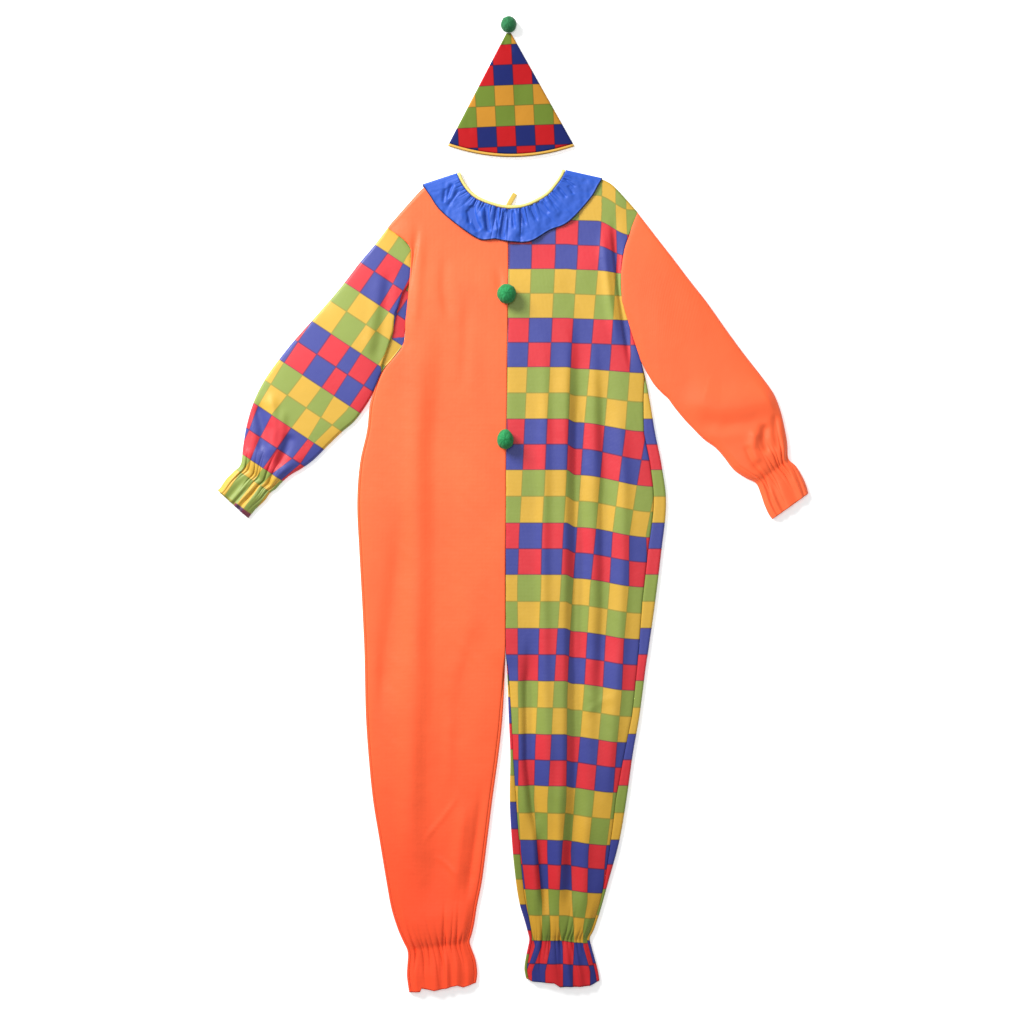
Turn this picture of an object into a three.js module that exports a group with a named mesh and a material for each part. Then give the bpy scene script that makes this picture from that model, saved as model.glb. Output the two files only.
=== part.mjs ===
// Clown costume laid out flat: a one-piece suit with a gathered collar, and its cone hat.
//
// Millimetres. X is across the suit, Y runs from the hems up to the hat, Z is up off the floor.
// The origin is on the floor under the middle of the whole layout.
// The suit is cut as two halves that meet on a centre seam: one half orange, one half checked, with
// the sleeves the other way round. Each half has a front and a back panel from shoulder to hem.
// The back panel lies on the floor, turns up round the side of the body and leg, and meets the front
// panel along the side seam and the inside leg seam.
// Each cloth is a wall: a grid of points on its outer face, and the same points moved in by CLOTH.

import * as THREE from "three";

// ---------------------------------------------------------------- driving sizes

const CLOTH = 1.5; // wall of every cloth
const SEAM = 0.5; // space between two pieces at a seam
const ROLL = 3.4; // radius of the turn at the side of a flattened tube
const SIDE_TOP = 2 * ROLL; // height of the outer face where a side seam lies
const DOME = 4; // how far the front stands up over its side seams
const PUFF = 6; // the same on a sleeve
const LOWEST_FRONT = 3.7; // outer face of the front in its deepest trough
const SHOULDER_TOP = 3.7; // outer face of the front along the shoulder seam
const NECK_TOP = 7.5; // outer face of the front under the collar
const NECK_LIFT = 2; // height of the back panel where the back of the collar lies under it

const COLUMNS = 24; // grid columns across a front panel
const LEG_GATHERS = 8; // along the ankle elastic of one front
const WRIST_GATHERS = 5; // along the wrist elastic on the upper side of a sleeve
const GATHER = 4.5; // height of a gather
const QUARTER = Math.PI / 2;

// ---------------------------------------------------------------- small helpers

const mix = (a, b, f) => a + (b - a) * f;
const clamp01 = (f) => Math.min(1, Math.max(0, f));
const smooth = (f) => clamp01(f) ** 2 * (3 - 2 * clamp01(f));

// One column of a table at a place between its rows, on a smooth curve through them.
function at(table, column, row) {
  const last = table.length - 1;
  const i = Math.min(last - 1, Math.max(0, Math.floor(row)));
  const f = row - i;
  const value = (k) => table[Math.min(last, Math.max(0, k))][column];
  const [a, b, c, d] = [value(i - 1), value(i), value(i + 1), value(i + 2)];
  return b + 0.5 * f * (c - a + f * (2 * a - 5 * b + 4 * c - d + f * (3 * (b - c) + d - a)));
}

// A fold is a ridge (lift above 0) or a trough (lift below 0) along a line of points. Its section is
// a bell of half width `half`, and it dies out at both ends. The result is its height at (x, y).
function foldHeight(fold, x, y) {
  const { line, lift, half } = fold;
  let best = Infinity;
  let place = 0;
  for (let i = 0; i + 1 < line.length; i++) {
    const [x0, y0] = line[i];
    const [dx, dy] = [line[i + 1][0] - x0, line[i + 1][1] - y0];
    const f = clamp01(((x - x0) * dx + (y - y0) * dy) / (dx * dx + dy * dy));
    const away = (x - x0 - f * dx) ** 2 + (y - y0 - f * dy) ** 2;
    if (away < best) {
      best = away;
      place = (i + f) / (line.length - 1);
    }
  }
  return lift * Math.exp(-best / (half * half)) * smooth(5 * place) * smooth(5 * (1 - place));
}

const foldsAt = (folds, x, y) => folds.reduce((sum, fold) => sum + foldHeight(fold, x, y), 0);

// Height of the gathers beside an elastic line. `across` runs 0 to 1 over the cloth and `above` is
// the distance from the elastic: positive towards the body, negative down the frill.
function gathers(count, across, above) {
  const wave = 0.5 + 0.5 * Math.cos(2 * Math.PI * count * across);
  const [root, puff, frill] = [0.35, 16, 70]; // share at the elastic, and where they are tallest, mm
  const size = above > 0
    ? root * Math.exp(-above / puff) + (above / puff) * Math.exp(1 - above / puff)
    : root + (1 - root) * smooth(-above / frill);
  return GATHER * size * wave;
}

// ---------------------------------------------------------------- a wall of cloth

// grid[row][column] are points on the outer face. The wall is `thick`, and lies on the side away from
// (next row) x (next column). `ring` joins the last column to the first. `plumb` cuts the first and
// last columns straight down, so that two such edges can lie side by side.
function wall(grid, { ring = false, plumb = false, thick = CLOTH } = {}) {
  const rows = grid.length;
  const columns = grid[0].length;
  const wrap = (j) => (j + columns) % columns;
  const limit = (j) => Math.min(columns - 1, Math.max(0, j));
  const near = ring ? wrap : limit;
  const inner = grid.map((line, i) =>
    line.map((point, j) => {
      const along = grid[Math.min(rows - 1, i + 1)][j].clone().sub(grid[Math.max(0, i - 1)][j]);
      const across = line[near(j + 1)].clone().sub(line[near(j - 1)]);
      const normal = along.cross(across).normalize();
      if (plumb && (j === 0 || j === columns - 1)) normal.set(0, 0, Math.sign(normal.z));
      return point.clone().addScaledVector(normal, -thick);
    }),
  );
  const points = [...grid.flat(), ...inner.flat()];
  const outside = (i, j) => i * columns + wrap(j);
  const inside = (i, j) => rows * columns + outside(i, j);
  const faces = [];
  const quad = (a, b, c, d) => faces.push(a, b, c, a, c, d);
  const spans = ring ? columns : columns - 1;
  for (let j = 0; j < spans; j++) {
    for (let i = 0; i + 1 < rows; i++) {
      quad(outside(i, j), outside(i + 1, j), outside(i + 1, j + 1), outside(i, j + 1));
      quad(inside(i, j), inside(i, j + 1), inside(i + 1, j + 1), inside(i + 1, j));
    }
    quad(outside(0, j), outside(0, j + 1), inside(0, j + 1), inside(0, j));
    const end = rows - 1;
    quad(outside(end, j + 1), outside(end, j), inside(end, j), inside(end, j + 1));
  }
  if (!ring) {
    for (let i = 0; i + 1 < rows; i++) {
      const end = columns - 1;
      quad(outside(i + 1, 0), outside(i, 0), inside(i, 0), inside(i + 1, 0));
      quad(outside(i, end), outside(i + 1, end), inside(i + 1, end), inside(i, end));
    }
  }
  const geometry = new THREE.BufferGeometry().setFromPoints(points);
  geometry.setIndex(faces);
  geometry.computeVertexNormals();
  return geometry;
}

// ---------------------------------------------------------------- body tables

// One row for each section of a half, from the hem to the shoulder seam. (cx, cy) is on the centre
// seam, inside leg or neck, and (sx, sy) on the side, armhole or shoulder tip. `bow` bends the
// section up in its middle. `legWrap` and `sideWrap` say how far in from that edge the seam lies
// where the back panel turns up and over it. HALF is where the panel stands on edge, 0 is where it
// lies flat.
const HALF = 2;
const ORANGE = [
  { cx: -68, cy: -884, sx: -192, sy: -902, bow: 0, legWrap: 5, sideWrap: 5 },
  { cx: -66, cy: -866, sx: -196, sy: -872, bow: 0, legWrap: 5, sideWrap: 5 },
  { cx: -69, cy: -842, sx: -195, sy: -850, bow: 0, legWrap: 5, sideWrap: 5 },
  { cx: -77, cy: -820, sx: -194, sy: -834, bow: 0, legWrap: 5, sideWrap: 5 },
  { cx: -80, cy: -808, sx: -196, sy: -822, bow: 0, legWrap: 5, sideWrap: 5 },
  { cx: -76, cy: -795, sx: -203, sy: -808, bow: 0, legWrap: 5, sideWrap: 5 },
  { cx: -71, cy: -772, sx: -214, sy: -782, bow: 0, legWrap: 5, sideWrap: 5 },
  { cx: -66, cy: -740, sx: -225, sy: -746, bow: 0, legWrap: 5, sideWrap: 5 },
  { cx: -57, cy: -695, sx: -234, sy: -697, bow: 0, legWrap: 5, sideWrap: 5 },
  { cx: -48, cy: -625, sx: -246, sy: -625, bow: 0, legWrap: 5, sideWrap: 5 },
  { cx: -38, cy: -545, sx: -259, sy: -545, bow: 0, legWrap: 5, sideWrap: 5 },
  { cx: -27, cy: -465, sx: -267, sy: -465, bow: 0, legWrap: 5, sideWrap: 5 },
  { cx: -19, cy: -390, sx: -272, sy: -390, bow: 0, legWrap: 5, sideWrap: 5 },
  { cx: -15, cy: -305, sx: -274, sy: -305, bow: 0, legWrap: HALF, sideWrap: 5 },
  { cx: -14, cy: -265, sx: -275, sy: -265, bow: 0, legWrap: 0, sideWrap: 5 },
  { cx: -14, cy: -180, sx: -279, sy: -180, bow: 0, legWrap: 0, sideWrap: 5 },
  { cx: -14, cy: -90, sx: -284, sy: -90, bow: 0, legWrap: 0, sideWrap: 5 },
  { cx: -13, cy: 0, sx: -288, sy: 0, bow: 0, legWrap: 0, sideWrap: 5 },
  { cx: -13, cy: 80, sx: -283, sy: 75, bow: 0, legWrap: 0, sideWrap: 5 },
  { cx: -12, cy: 150, sx: -270, sy: 135, bow: 0, legWrap: 0, sideWrap: 5 },
  { cx: -11, cy: 215, sx: -260, sy: 190, bow: 0, legWrap: 0, sideWrap: 5 },
  { cx: -11, cy: 275, sx: -236, sy: 244, bow: 0, legWrap: 0, sideWrap: HALF },
  { cx: -10, cy: 330, sx: -204, sy: 292, bow: 0, legWrap: 0, sideWrap: 0 },
  { cx: -10, cy: 385, sx: -198.5, sy: 340, bow: 0, legWrap: 0, sideWrap: 0 },
  { cx: -9, cy: 435, sx: -193, sy: 393, bow: 0, legWrap: 0, sideWrap: 0 },
  { cx: -9, cy: 482, sx: -189, sy: 440, bow: 2, legWrap: 0, sideWrap: 0 },
  { cx: -9, cy: 522, sx: -189, sy: 471, bow: 6, legWrap: 0, sideWrap: 0 },
  { cx: -9, cy: 547, sx: -203, sy: 489, bow: 12, legWrap: 0, sideWrap: 0 },
  { cx: -46, cy: 558, sx: -217, sy: 499, bow: 18, legWrap: 0, sideWrap: 0 },
  { cx: -80, cy: 579, sx: -226, sy: 505, bow: 21, legWrap: 0, sideWrap: 0 },
  { cx: -93, cy: 598, sx: -232, sy: 511, bow: 21, legWrap: 0, sideWrap: 0 },
];

const CHECK = [
  { cx: 24, cy: -876, sx: 160, sy: -880, bow: -12, legWrap: 5, sideWrap: 5 },
  { cx: 21, cy: -858, sx: 157, sy: -861, bow: -8, legWrap: 5, sideWrap: 5 },
  { cx: 24, cy: -836, sx: 151, sy: -838, bow: -4, legWrap: 5, sideWrap: 5 },
  { cx: 28, cy: -817, sx: 145, sy: -817, bow: 0, legWrap: 5, sideWrap: 5 },
  { cx: 30, cy: -804, sx: 142, sy: -802, bow: 0, legWrap: 5, sideWrap: 5 },
  { cx: 27, cy: -790, sx: 149, sy: -788, bow: 0, legWrap: 7, sideWrap: 5 },
  { cx: 21, cy: -768, sx: 157, sy: -765, bow: 0, legWrap: 9, sideWrap: 5 },
  { cx: 12, cy: -738, sx: 166, sy: -735, bow: 0, legWrap: 12, sideWrap: 5 },
  { cx: 5, cy: -695, sx: 177, sy: -695, bow: 0, legWrap: 13, sideWrap: 7 },
  { cx: -2, cy: -625, sx: 196, sy: -625, bow: 0, legWrap: 14, sideWrap: 16 },
  { cx: -6, cy: -545, sx: 210, sy: -545, bow: 0, legWrap: 12, sideWrap: 20 },
  { cx: -5, cy: -465, sx: 221, sy: -465, bow: 0, legWrap: 5, sideWrap: 16 },
  { cx: -8, cy: -390, sx: 234, sy: -390, bow: 0, legWrap: 5, sideWrap: 14 },
  { cx: -11, cy: -305, sx: 245, sy: -305, bow: 0, legWrap: HALF, sideWrap: 16 },
  { cx: -14, cy: -265, sx: 251, sy: -265, bow: 0, legWrap: 0, sideWrap: 18 },
  { cx: -14, cy: -180, sx: 263, sy: -180, bow: 0, legWrap: 0, sideWrap: 24 },
  { cx: -14, cy: -90, sx: 274, sy: -90, bow: 0, legWrap: 0, sideWrap: 25 },
  { cx: -13, cy: 0, sx: 283, sy: 0, bow: 0, legWrap: 0, sideWrap: 23 },
  { cx: -13, cy: 75, sx: 275, sy: 70, bow: 0, legWrap: 0, sideWrap: 21 },
  { cx: -12, cy: 140, sx: 263, sy: 130, bow: 0, legWrap: 0, sideWrap: 21 },
  { cx: -11, cy: 200, sx: 253, sy: 190, bow: 0, legWrap: 0, sideWrap: 12 },
  { cx: -11, cy: 250, sx: 245, sy: 232, bow: 0, legWrap: 0, sideWrap: HALF },
  { cx: -10, cy: 305, sx: 236, sy: 266, bow: 0, legWrap: 0, sideWrap: 0 },
  { cx: -10, cy: 365, sx: 219, sy: 318, bow: 0, legWrap: 0, sideWrap: 0 },
  { cx: -9, cy: 425, sx: 202, sy: 376, bow: 0, legWrap: 0, sideWrap: 0 },
  { cx: -9, cy: 480, sx: 200, sy: 430, bow: 3, legWrap: 0, sideWrap: 0 },
  { cx: -9, cy: 522, sx: 206, sy: 471, bow: 7, legWrap: 0, sideWrap: 0 },
  { cx: -9, cy: 547, sx: 214, sy: 494, bow: 12, legWrap: 0, sideWrap: 0 },
  { cx: 38, cy: 558, sx: 220, sy: 510, bow: 20, legWrap: 0, sideWrap: 0 },
  { cx: 73, cy: 582, sx: 225.5, sy: 524, bow: 23, legWrap: 0, sideWrap: 0 },
  { cx: 85, cy: 603, sx: 231.5, sy: 538, bow: 25, legWrap: 0, sideWrap: 0 },
];

const ANKLE_ROW = 4; // the row of both tables that lies on the ankle elastic

// Folds of the fronts, as ridges and troughs along lines from top to bottom.
const ORANGE_FOLDS = [
  { lift: -3.5, half: 13, line: [[-146, 450], [-150, 200], [-160, 0]] },
  { lift: -6, half: 13, line: [[-152, 120], [-162, -150], [-176, -420], [-182, -560], [-174, -700]] },
  { lift: -4, half: 12, line: [[-224, 60], [-228, -140], [-240, -270], [-250, -400]] },
  { lift: -4, half: 12, line: [[-92, -60], [-90, -260], [-108, -360], [-136, -600], [-150, -710]] },
  { lift: -3, half: 11, line: [[-98, 380], [-102, 180], [-106, 60]] },
  { lift: 4, half: 13, line: [[-198, 40], [-206, -160], [-212, -340], [-218, -520], [-208, -700]] },
  { lift: 4, half: 13, line: [[-128, 60], [-130, -160], [-140, -330], [-150, -480], [-160, -620]] },
  { lift: 3, half: 14, line: [[-64, -180], [-66, -380], [-92, -540], [-108, -680], [-112, -760]] },
  { lift: -5, half: 8, line: [[-174, 585], [-182, 500], [-190, 430], [-196, 350]] },
  { lift: 4, half: 9, line: [[-160, 580], [-168, 490], [-176, 400], [-184, 300]] },
];

const CHECK_FOLDS = [
  { lift: -7, half: 11, line: [[108, 400], [104, 60], [104, -100], [100, -300], [104, -620], [108, -740]] },
  { lift: 5, half: 13, line: [[80, 330], [76, 120], [72, -100], [68, -300], [70, -480], [74, -640]] },
  { lift: 5, half: 12, line: [[134, 330], [136, 100], [136, -120], [134, -320], [132, -520], [130, -700]] },
  { lift: -6, half: 11, line: [[152, 300], [160, 120], [172, 0], [166, -240], [158, -380], [152, -560]] },
  { lift: 4, half: 13, line: [[192, 200], [204, 40], [204, -100], [196, -260], [184, -420], [172, -580]] },
  { lift: -6, half: 10, line: [[30, -230], [26, -330], [26, -470], [36, -560], [50, -650], [60, -760]] },
  { lift: 4, half: 11, line: [[4, -260], [4, -380], [8, -500], [22, -600]] },
  { lift: -5, half: 8, line: [[176, 600], [184, 530], [190, 440], [206, 340], [222, 240]] },
  { lift: 4, half: 10, line: [[156, 560], [166, 470], [178, 380], [198, 280]] },
];

// ---------------------------------------------------------------- fronts and backs

// 1 under the collar, falling to 0 a hand's width outside it. The collar's edge is near an ellipse.
function underCollar(x, y) {
  const reach = Math.hypot(x / 172, (y - 640) / 160);
  return 1 - smooth((reach - 1.2) / 0.35);
}

// The section of a half on one row of its table: its length, and a point `along` it from the centre.
function section({ cx, cy, sx, sy, bow }) {
  const centre = new THREE.Vector2(cx, cy);
  const side = new THREE.Vector2(sx, sy);
  const length = centre.distanceTo(side);
  const unit = side.clone().sub(centre).divideScalar(length);
  const up = new THREE.Vector2(-unit.y, unit.x).multiplyScalar(Math.sign(unit.x));
  const place = (along) => {
    const f = along / length;
    return centre.clone().addScaledVector(unit, along).addScaledVector(up, bow * 4 * f * (1 - f));
  };
  return { length, place };
}

// Height of a front's outer face. `across` is 0 at the centre or inside leg and 1 at the side.
function frontHeight({ table, folds }, i, across, { x, y }) {
  const onLeg = table[i].legWrap > 0;
  const dome = Math.max(0, onLeg ? Math.sin(Math.PI * across) : Math.cos(QUARTER * across));
  const edge = smooth((1 - across) * 9) * (onLeg ? smooth(across * 9) : 1);
  const ankle = table[ANKLE_ROW];
  const above = y - mix(ankle.cy, ankle.sy, across);
  const free = mix(0.1, 1, smooth(Math.abs(above) / 60)); // the elastic holds the cloth down
  const shape = SIDE_TOP + DOME * Math.sqrt(dome) * free;
  const relief = edge * (free * foldsAt(folds, x, y) + gathers(LEG_GATHERS, across, above));
  const z = Math.max(LOWEST_FRONT, shape + relief);
  const rowsToShoulder = table.length - 1 - i;
  return mix(mix(SHOULDER_TOP, z, smooth(rowsToShoulder / 3)), NECK_TOP, underCollar(x, y));
}

// How far in from its edge a front is cut: clear of the back's turned-up edge, or of its neighbour.
const seamInset = (wrap) => (wrap > 0 ? wrap + SEAM : SEAM / 2);

function frontGrid(half) {
  return half.table.map((row, i) => {
    const { length, place } = section(row);
    const from = seamInset(row.legWrap);
    const to = length - seamInset(row.sideWrap);
    return Array.from({ length: COLUMNS + 1 }, (_, j) => {
      const across = j / COLUMNS;
      const spot = place(mix(from, to, across));
      return new THREE.Vector3(spot.x, spot.y, frontHeight(half, i, across, spot));
    });
  });
}

// The edge of a back panel as [distance in from the edge, height] pairs, from its seam to the floor.
function backEdge(wrap) {
  if (wrap === 0) return [0, 3, 6, 9, 12].map((inward) => [SEAM / 2 + inward, 0]);
  const seam = wrap > HALF ? [wrap, SIDE_TOP] : [0, SIDE_TOP - CLOTH - SEAM];
  const last = wrap > HALF ? QUARTER : 0;
  const turn = [0, 1, 2, 3].map((k) => {
    const angle = mix(last, -QUARTER, k / 3);
    return [ROLL - ROLL * Math.cos(angle), ROLL + ROLL * Math.sin(angle)];
  });
  return [seam, ...turn];
}

function backGrid({ table }) {
  return table.map((row) => {
    const { length, place } = section(row);
    const side = backEdge(row.sideWrap).map(([inward, height]) => [length - inward, height]);
    const path = [...backEdge(row.legWrap), [0.35 * length, 0], [0.65 * length, 0], ...side.reverse()];
    return path.map(([along, height]) => {
      const { x, y } = place(along);
      return new THREE.Vector3(x, y, height + NECK_LIFT * underCollar(x, y));
    });
  });
}

// ---------------------------------------------------------------- flattened tubes

// Rings of a flattened tube. Each runs over the top from the lower edge to the upper edge, round that
// edge, back along the floor, and round the lower edge. shift(i, across) moves a point of ring i off
// the straight line between its edges, and top(i, across, spot) is the height of the upper side.
function tubeGrid(rows, { shift, top, over, under, roll }) {
  return rows.map(({ lower, upper }, i) => {
    const length = lower.distanceTo(upper);
    const turn = Math.min(roll, length / 4);
    const angles = [QUARTER / 2, 0, -QUARTER / 2];
    const arc = angles.map((a) => [turn - turn * Math.cos(a), turn + turn * Math.sin(a)]);
    const point = (along, height) => {
      const across = along / length;
      const spot = lower.clone().lerp(upper, across).add(shift(i, across));
      return new THREE.Vector3(spot.x, spot.y, height ?? Math.max(2 * turn, top(i, across, spot)));
    };
    return [
      ...Array.from({ length: over + 1 }, (_, j) => point(mix(turn, length - turn, j / over))),
      ...arc.map(([inward, height]) => point(length - inward, height)),
      ...Array.from({ length: under + 1 }, (_, j) => point(mix(length - turn, turn, j / under), 0)),
      ...arc.reverse().map(([inward, height]) => point(inward, height)),
    ];
  });
}

// ---------------------------------------------------------------- sleeves

// One row for each section of a sleeve below the armhole, down to the hem of the cuff. (ux, uy) is on
// its upper edge and (lx, ly) on its lower edge. `fill` is how far it stands up, 1 where it is fullest.
const CHECK_SLEEVE = [
  { ux: -256, uy: 478, lx: -222, ly: 273, fill: 0.5 },
  { ux: -283, uy: 446, lx: -240, ly: 247, fill: 0.8 },
  { ux: -309, uy: 412, lx: -256, ly: 219, fill: 1 },
  { ux: -336, uy: 379, lx: -270, ly: 188, fill: 1 },
  { ux: -372, uy: 338, lx: -292, ly: 154, fill: 1 },
  { ux: -405, uy: 301, lx: -315, ly: 134, fill: 1 },
  { ux: -433, uy: 266, lx: -341, ly: 109, fill: 1 },
  { ux: -459, uy: 229, lx: -368, ly: 82, fill: 1 },
  { ux: -479, uy: 189, lx: -390, ly: 66, fill: 0.9 },
  { ux: -492, uy: 146, lx: -412, ly: 53, fill: 0.7 },
  { ux: -499, uy: 105, lx: -428, ly: 39, fill: 0.4 },
  { ux: -503, uy: 74, lx: -438, ly: 28, fill: 0 },
  { ux: -516, uy: 60, lx: -448, ly: 21, fill: 0 },
  { ux: -530, uy: 46, lx: -459, ly: 6, fill: 0.1 },
  { ux: -541, uy: 30, lx: -476, ly: -10, fill: 0.1 },
  { ux: -546, uy: 26, lx: -489, ly: -26, fill: 0.1 },
];

const ORANGE_SLEEVE = [
  { ux: 262, uy: 497, lx: 257, ly: 226, fill: 0.6 },
  { ux: 294, uy: 456, lx: 272, ly: 208, fill: 0.9 },
  { ux: 325, uy: 415, lx: 287, ly: 194, fill: 1 },
  { ux: 358, uy: 373, lx: 297, ly: 180, fill: 1 },
  { ux: 394, uy: 322, lx: 315, ly: 158, fill: 1 },
  { ux: 424, uy: 281, lx: 332, ly: 140, fill: 1 },
  { ux: 456, uy: 240, lx: 352, ly: 120, fill: 1 },
  { ux: 481, uy: 205, lx: 374, ly: 104, fill: 1 },
  { ux: 494, uy: 173, lx: 390, ly: 86, fill: 0.9 },
  { ux: 502, uy: 140, lx: 408, ly: 63, fill: 0.7 },
  { ux: 507, uy: 111, lx: 430, ly: 48, fill: 0.4 },
  { ux: 509, uy: 84, lx: 449, ly: 38, fill: 0 },
  { ux: 523, uy: 70, lx: 458, ly: 18, fill: 0 },
  { ux: 535, uy: 50, lx: 464, ly: 0, fill: 0.1 },
  { ux: 542, uy: 34, lx: 472, ly: -18, fill: 0.1 },
  { ux: 546, uy: 20, lx: 479, ly: -28, fill: 0.1 },
];

const WRIST_ROW = 11; // the row of both tables that lies on the wrist elastic

const CHECK_SLEEVE_FOLDS = [
  { lift: -5, half: 12, line: [[-216, 440], [-226, 380], [-236, 310], [-250, 250]] },
  { lift: 4, half: 13, line: [[-240, 430], [-252, 350], [-268, 270]] },
  { lift: -4, half: 11, line: [[-474, 170], [-462, 130], [-466, 90]] },
  { lift: 4, half: 12, line: [[-448, 200], [-438, 140], [-446, 80]] },
  { lift: -4, half: 10, line: [[-360, 150], [-390, 110], [-420, 70]] },
];

const ORANGE_SLEEVE_FOLDS = [
  { lift: -5, half: 12, line: [[312, 172], [360, 160], [420, 172], [486, 182]] },
  { lift: -4, half: 11, line: [[350, 130], [390, 134], [430, 150], [462, 160]] },
  { lift: 4, half: 13, line: [[330, 152], [390, 150], [450, 166]] },
  { lift: -4, half: 10, line: [[466, 150], [462, 120], [470, 90]] },
  { lift: 4, half: 11, line: [[448, 140], [440, 100], [452, 70]] },
];

const ARMPIT_ROW = 22; // the row of both body tables where the armhole starts
const HANG = 4; // rows over which the sleeve keeps the bend of the armhole

// A point of a body half's armhole, `across` running 0 at the armpit to 1 at the shoulder tip.
function armhole(body, across) {
  const seam = body.slice(ARMPIT_ROW).map(({ sx, sy }) => new THREE.Vector2(sx, sy));
  const lengths = seam.slice(1).map((p, i) => p.distanceTo(seam[i]));
  let left = across * lengths.reduce((sum, l) => sum + l, 0);
  let i = 0;
  while (i < lengths.length - 1 && left > lengths[i]) left -= lengths[i++];
  return seam[i].clone().lerp(seam[i + 1], left / lengths[i]);
}

// `way` is -1 for the sleeve towards -X and 1 for the one towards +X.
function sleeveGrid({ table, folds, body, way }) {
  const off = new THREE.Vector2(way * 2 * SEAM, 0);
  const first = { lower: armhole(body, 0).add(off), upper: armhole(body, 1).add(off) };
  const rows = table.map(({ ux, uy, lx, ly }) => ({
    lower: new THREE.Vector2(lx, ly),
    upper: new THREE.Vector2(ux, uy),
  }));
  const wrist = rows[WRIST_ROW];
  const line = wrist.upper.clone().sub(wrist.lower).normalize();
  const toBody = new THREE.Vector2(-line.y, line.x).multiplyScalar(way);
  const shift = (i, across) => {
    const bend = armhole(body, across).sub(armhole(body, 0).lerp(armhole(body, 1), across));
    return bend.multiplyScalar(1 - smooth(i / HANG));
  };
  const top = (i, across, spot) => {
    const above = spot.clone().sub(wrist.lower).dot(toBody);
    const edge = smooth(across * 8) * smooth((1 - across) * 8);
    const free = mix(0.1, 1, smooth(Math.abs(above) / 45)) * smooth(i / 1.5);
    const fill = i ? table[i - 1].fill : 0;
    const dome = PUFF * fill * Math.sqrt(Math.max(0, Math.sin(Math.PI * across)));
    const relief = free * foldsAt(folds, spot.x, spot.y) + gathers(WRIST_GATHERS, across, above);
    return SIDE_TOP + dome + edge * relief;
  };
  return tubeGrid([first, ...rows], { shift, top, over: 3 * WRIST_GATHERS, under: 3, roll: ROLL });
}

// ---------------------------------------------------------------- collar, binding and tape

// The collar as it lies on the front, from shoulder to shoulder: its gathered inner edge (ix, iy) at
// the neck opening and its free outer edge (ox, oy).
const COLLAR = [
  { ix: -94, iy: 606, ox: -166, oy: 581 },
  { ix: -90, iy: 596, ox: -154, oy: 568 },
  { ix: -79, iy: 580, ox: -136, oy: 543 },
  { ix: -64, iy: 568, ox: -100, oy: 512 },
  { ix: -43, iy: 559, ox: -62, oy: 488 },
  { ix: -22, iy: 553, ox: -32, oy: 488 },
  { ix: -2, iy: 551, ox: -3, oy: 483 },
  { ix: 20, iy: 554, ox: 33, oy: 484 },
  { ix: 40, iy: 562, ox: 67, oy: 504 },
  { ix: 61, iy: 575, ox: 103, oy: 520 },
  { ix: 77, iy: 593, ox: 143, oy: 563 },
  { ix: 86, iy: 606, ox: 158, oy: 588 },
  { ix: 90, iy: 614, ox: 164, oy: 597.5 },
];

const BINDING_WIDTH = 8;
const FINE_WAVES = 16; // gathers along the neck
const WIDE_WAVES = 8; // flutes along the free edge
const COLLAR_TOP = NECK_TOP + SEAM + CLOTH; // upper face of the collar between its waves

// A point of the collar's upper side: `u` from shoulder to shoulder, `out` in mm from the opening.
function neckSpot(u, out) {
  const row = u * (COLLAR.length - 1);
  const inner = new THREE.Vector2(at(COLLAR, "ix", row), at(COLLAR, "iy", row));
  const outer = new THREE.Vector2(at(COLLAR, "ox", row), at(COLLAR, "oy", row));
  const width = inner.distanceTo(outer);
  return { width, inner, spot: inner.clone().lerp(outer, out / width) };
}

// The ruffle's wave at `f` of its width: close gathers at the neck, which open into wider flutes.
function ruffle(u, f) {
  const wave = (count) => 0.5 + 0.5 * Math.cos(2 * Math.PI * count * u);
  const ends = smooth(u * 14) * smooth((1 - u) * 14);
  return ends * (mix(4, 1.2, smooth(f)) * wave(FINE_WAVES) + mix(0, 4.5, smooth(f)) * wave(WIDE_WAVES));
}

// A band round the whole neck: it lies on the front, turns over each shoulder, and lies flat on the
// floor under the back. outs(width) are its distances out from the neck opening, and lift(u, f) its
// wave on the front. The wall's rows run out from the neck and its columns run round it.
function neckBand({ outs, lift, front, back }) {
  const radius = COLLAR_TOP / 2;
  const column = (u, aside, height) => {
    const { width, inner, spot } = neckSpot(u, 1);
    const along = spot.sub(inner);
    const away = new THREE.Vector2(-along.y, along.x).multiplyScalar(aside);
    return outs(width).map((out, k, all) => {
      const { x, y } = neckSpot(u, out).spot.add(away);
      return new THREE.Vector3(x, y, height(k / (all.length - 1)));
    });
  };
  const turn = (u, way) => [60, 30, 0, -30, -60].map((degrees) => {
    const angle = THREE.MathUtils.degToRad(degrees);
    return column(u, way * radius * Math.cos(angle), () => radius + radius * Math.sin(angle));
  });
  const upper = Array.from({ length: front + 1 }, (_, j) => j / front);
  const under = Array.from({ length: back + 1 }, (_, j) => 1 - j / back);
  const columns = [
    ...upper.map((u) => column(u, 0, (f) => COLLAR_TOP + lift(u, f))),
    ...turn(1, 1),
    ...under.map((u) => column(u, 0, () => 0)),
    ...turn(0, -1).reverse(),
  ];
  return columns[0].map((_, k) => columns.map((points) => points[k]));
}

const collarGrid = () => neckBand({
  outs: (width) => [0, 0.5, 1].map((f) => mix(BINDING_WIDTH + SEAM, width, f)),
  lift: ruffle,
  front: 4 * FINE_WAVES,
  back: 20,
});

const bindingGrid = () => neckBand({
  outs: () => [0, BINDING_WIDTH],
  lift: () => 0,
  front: 32,
  back: 20,
});

// The tape rises from between the front and the back at the middle of the neck, and lies on the floor.
const TAPE = [
  { x: -14, y: 536, z: 5.35 },
  { x: -10, y: 548, z: 5.35 },
  { x: -4, y: 560, z: 4.9 },
  { x: 0, y: 567, z: 3.4 },
  { x: 4, y: 574, z: 1.2 },
];
const TAPE_WIDTH = 9;
const TAPE_THICK = 1.2;

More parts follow.
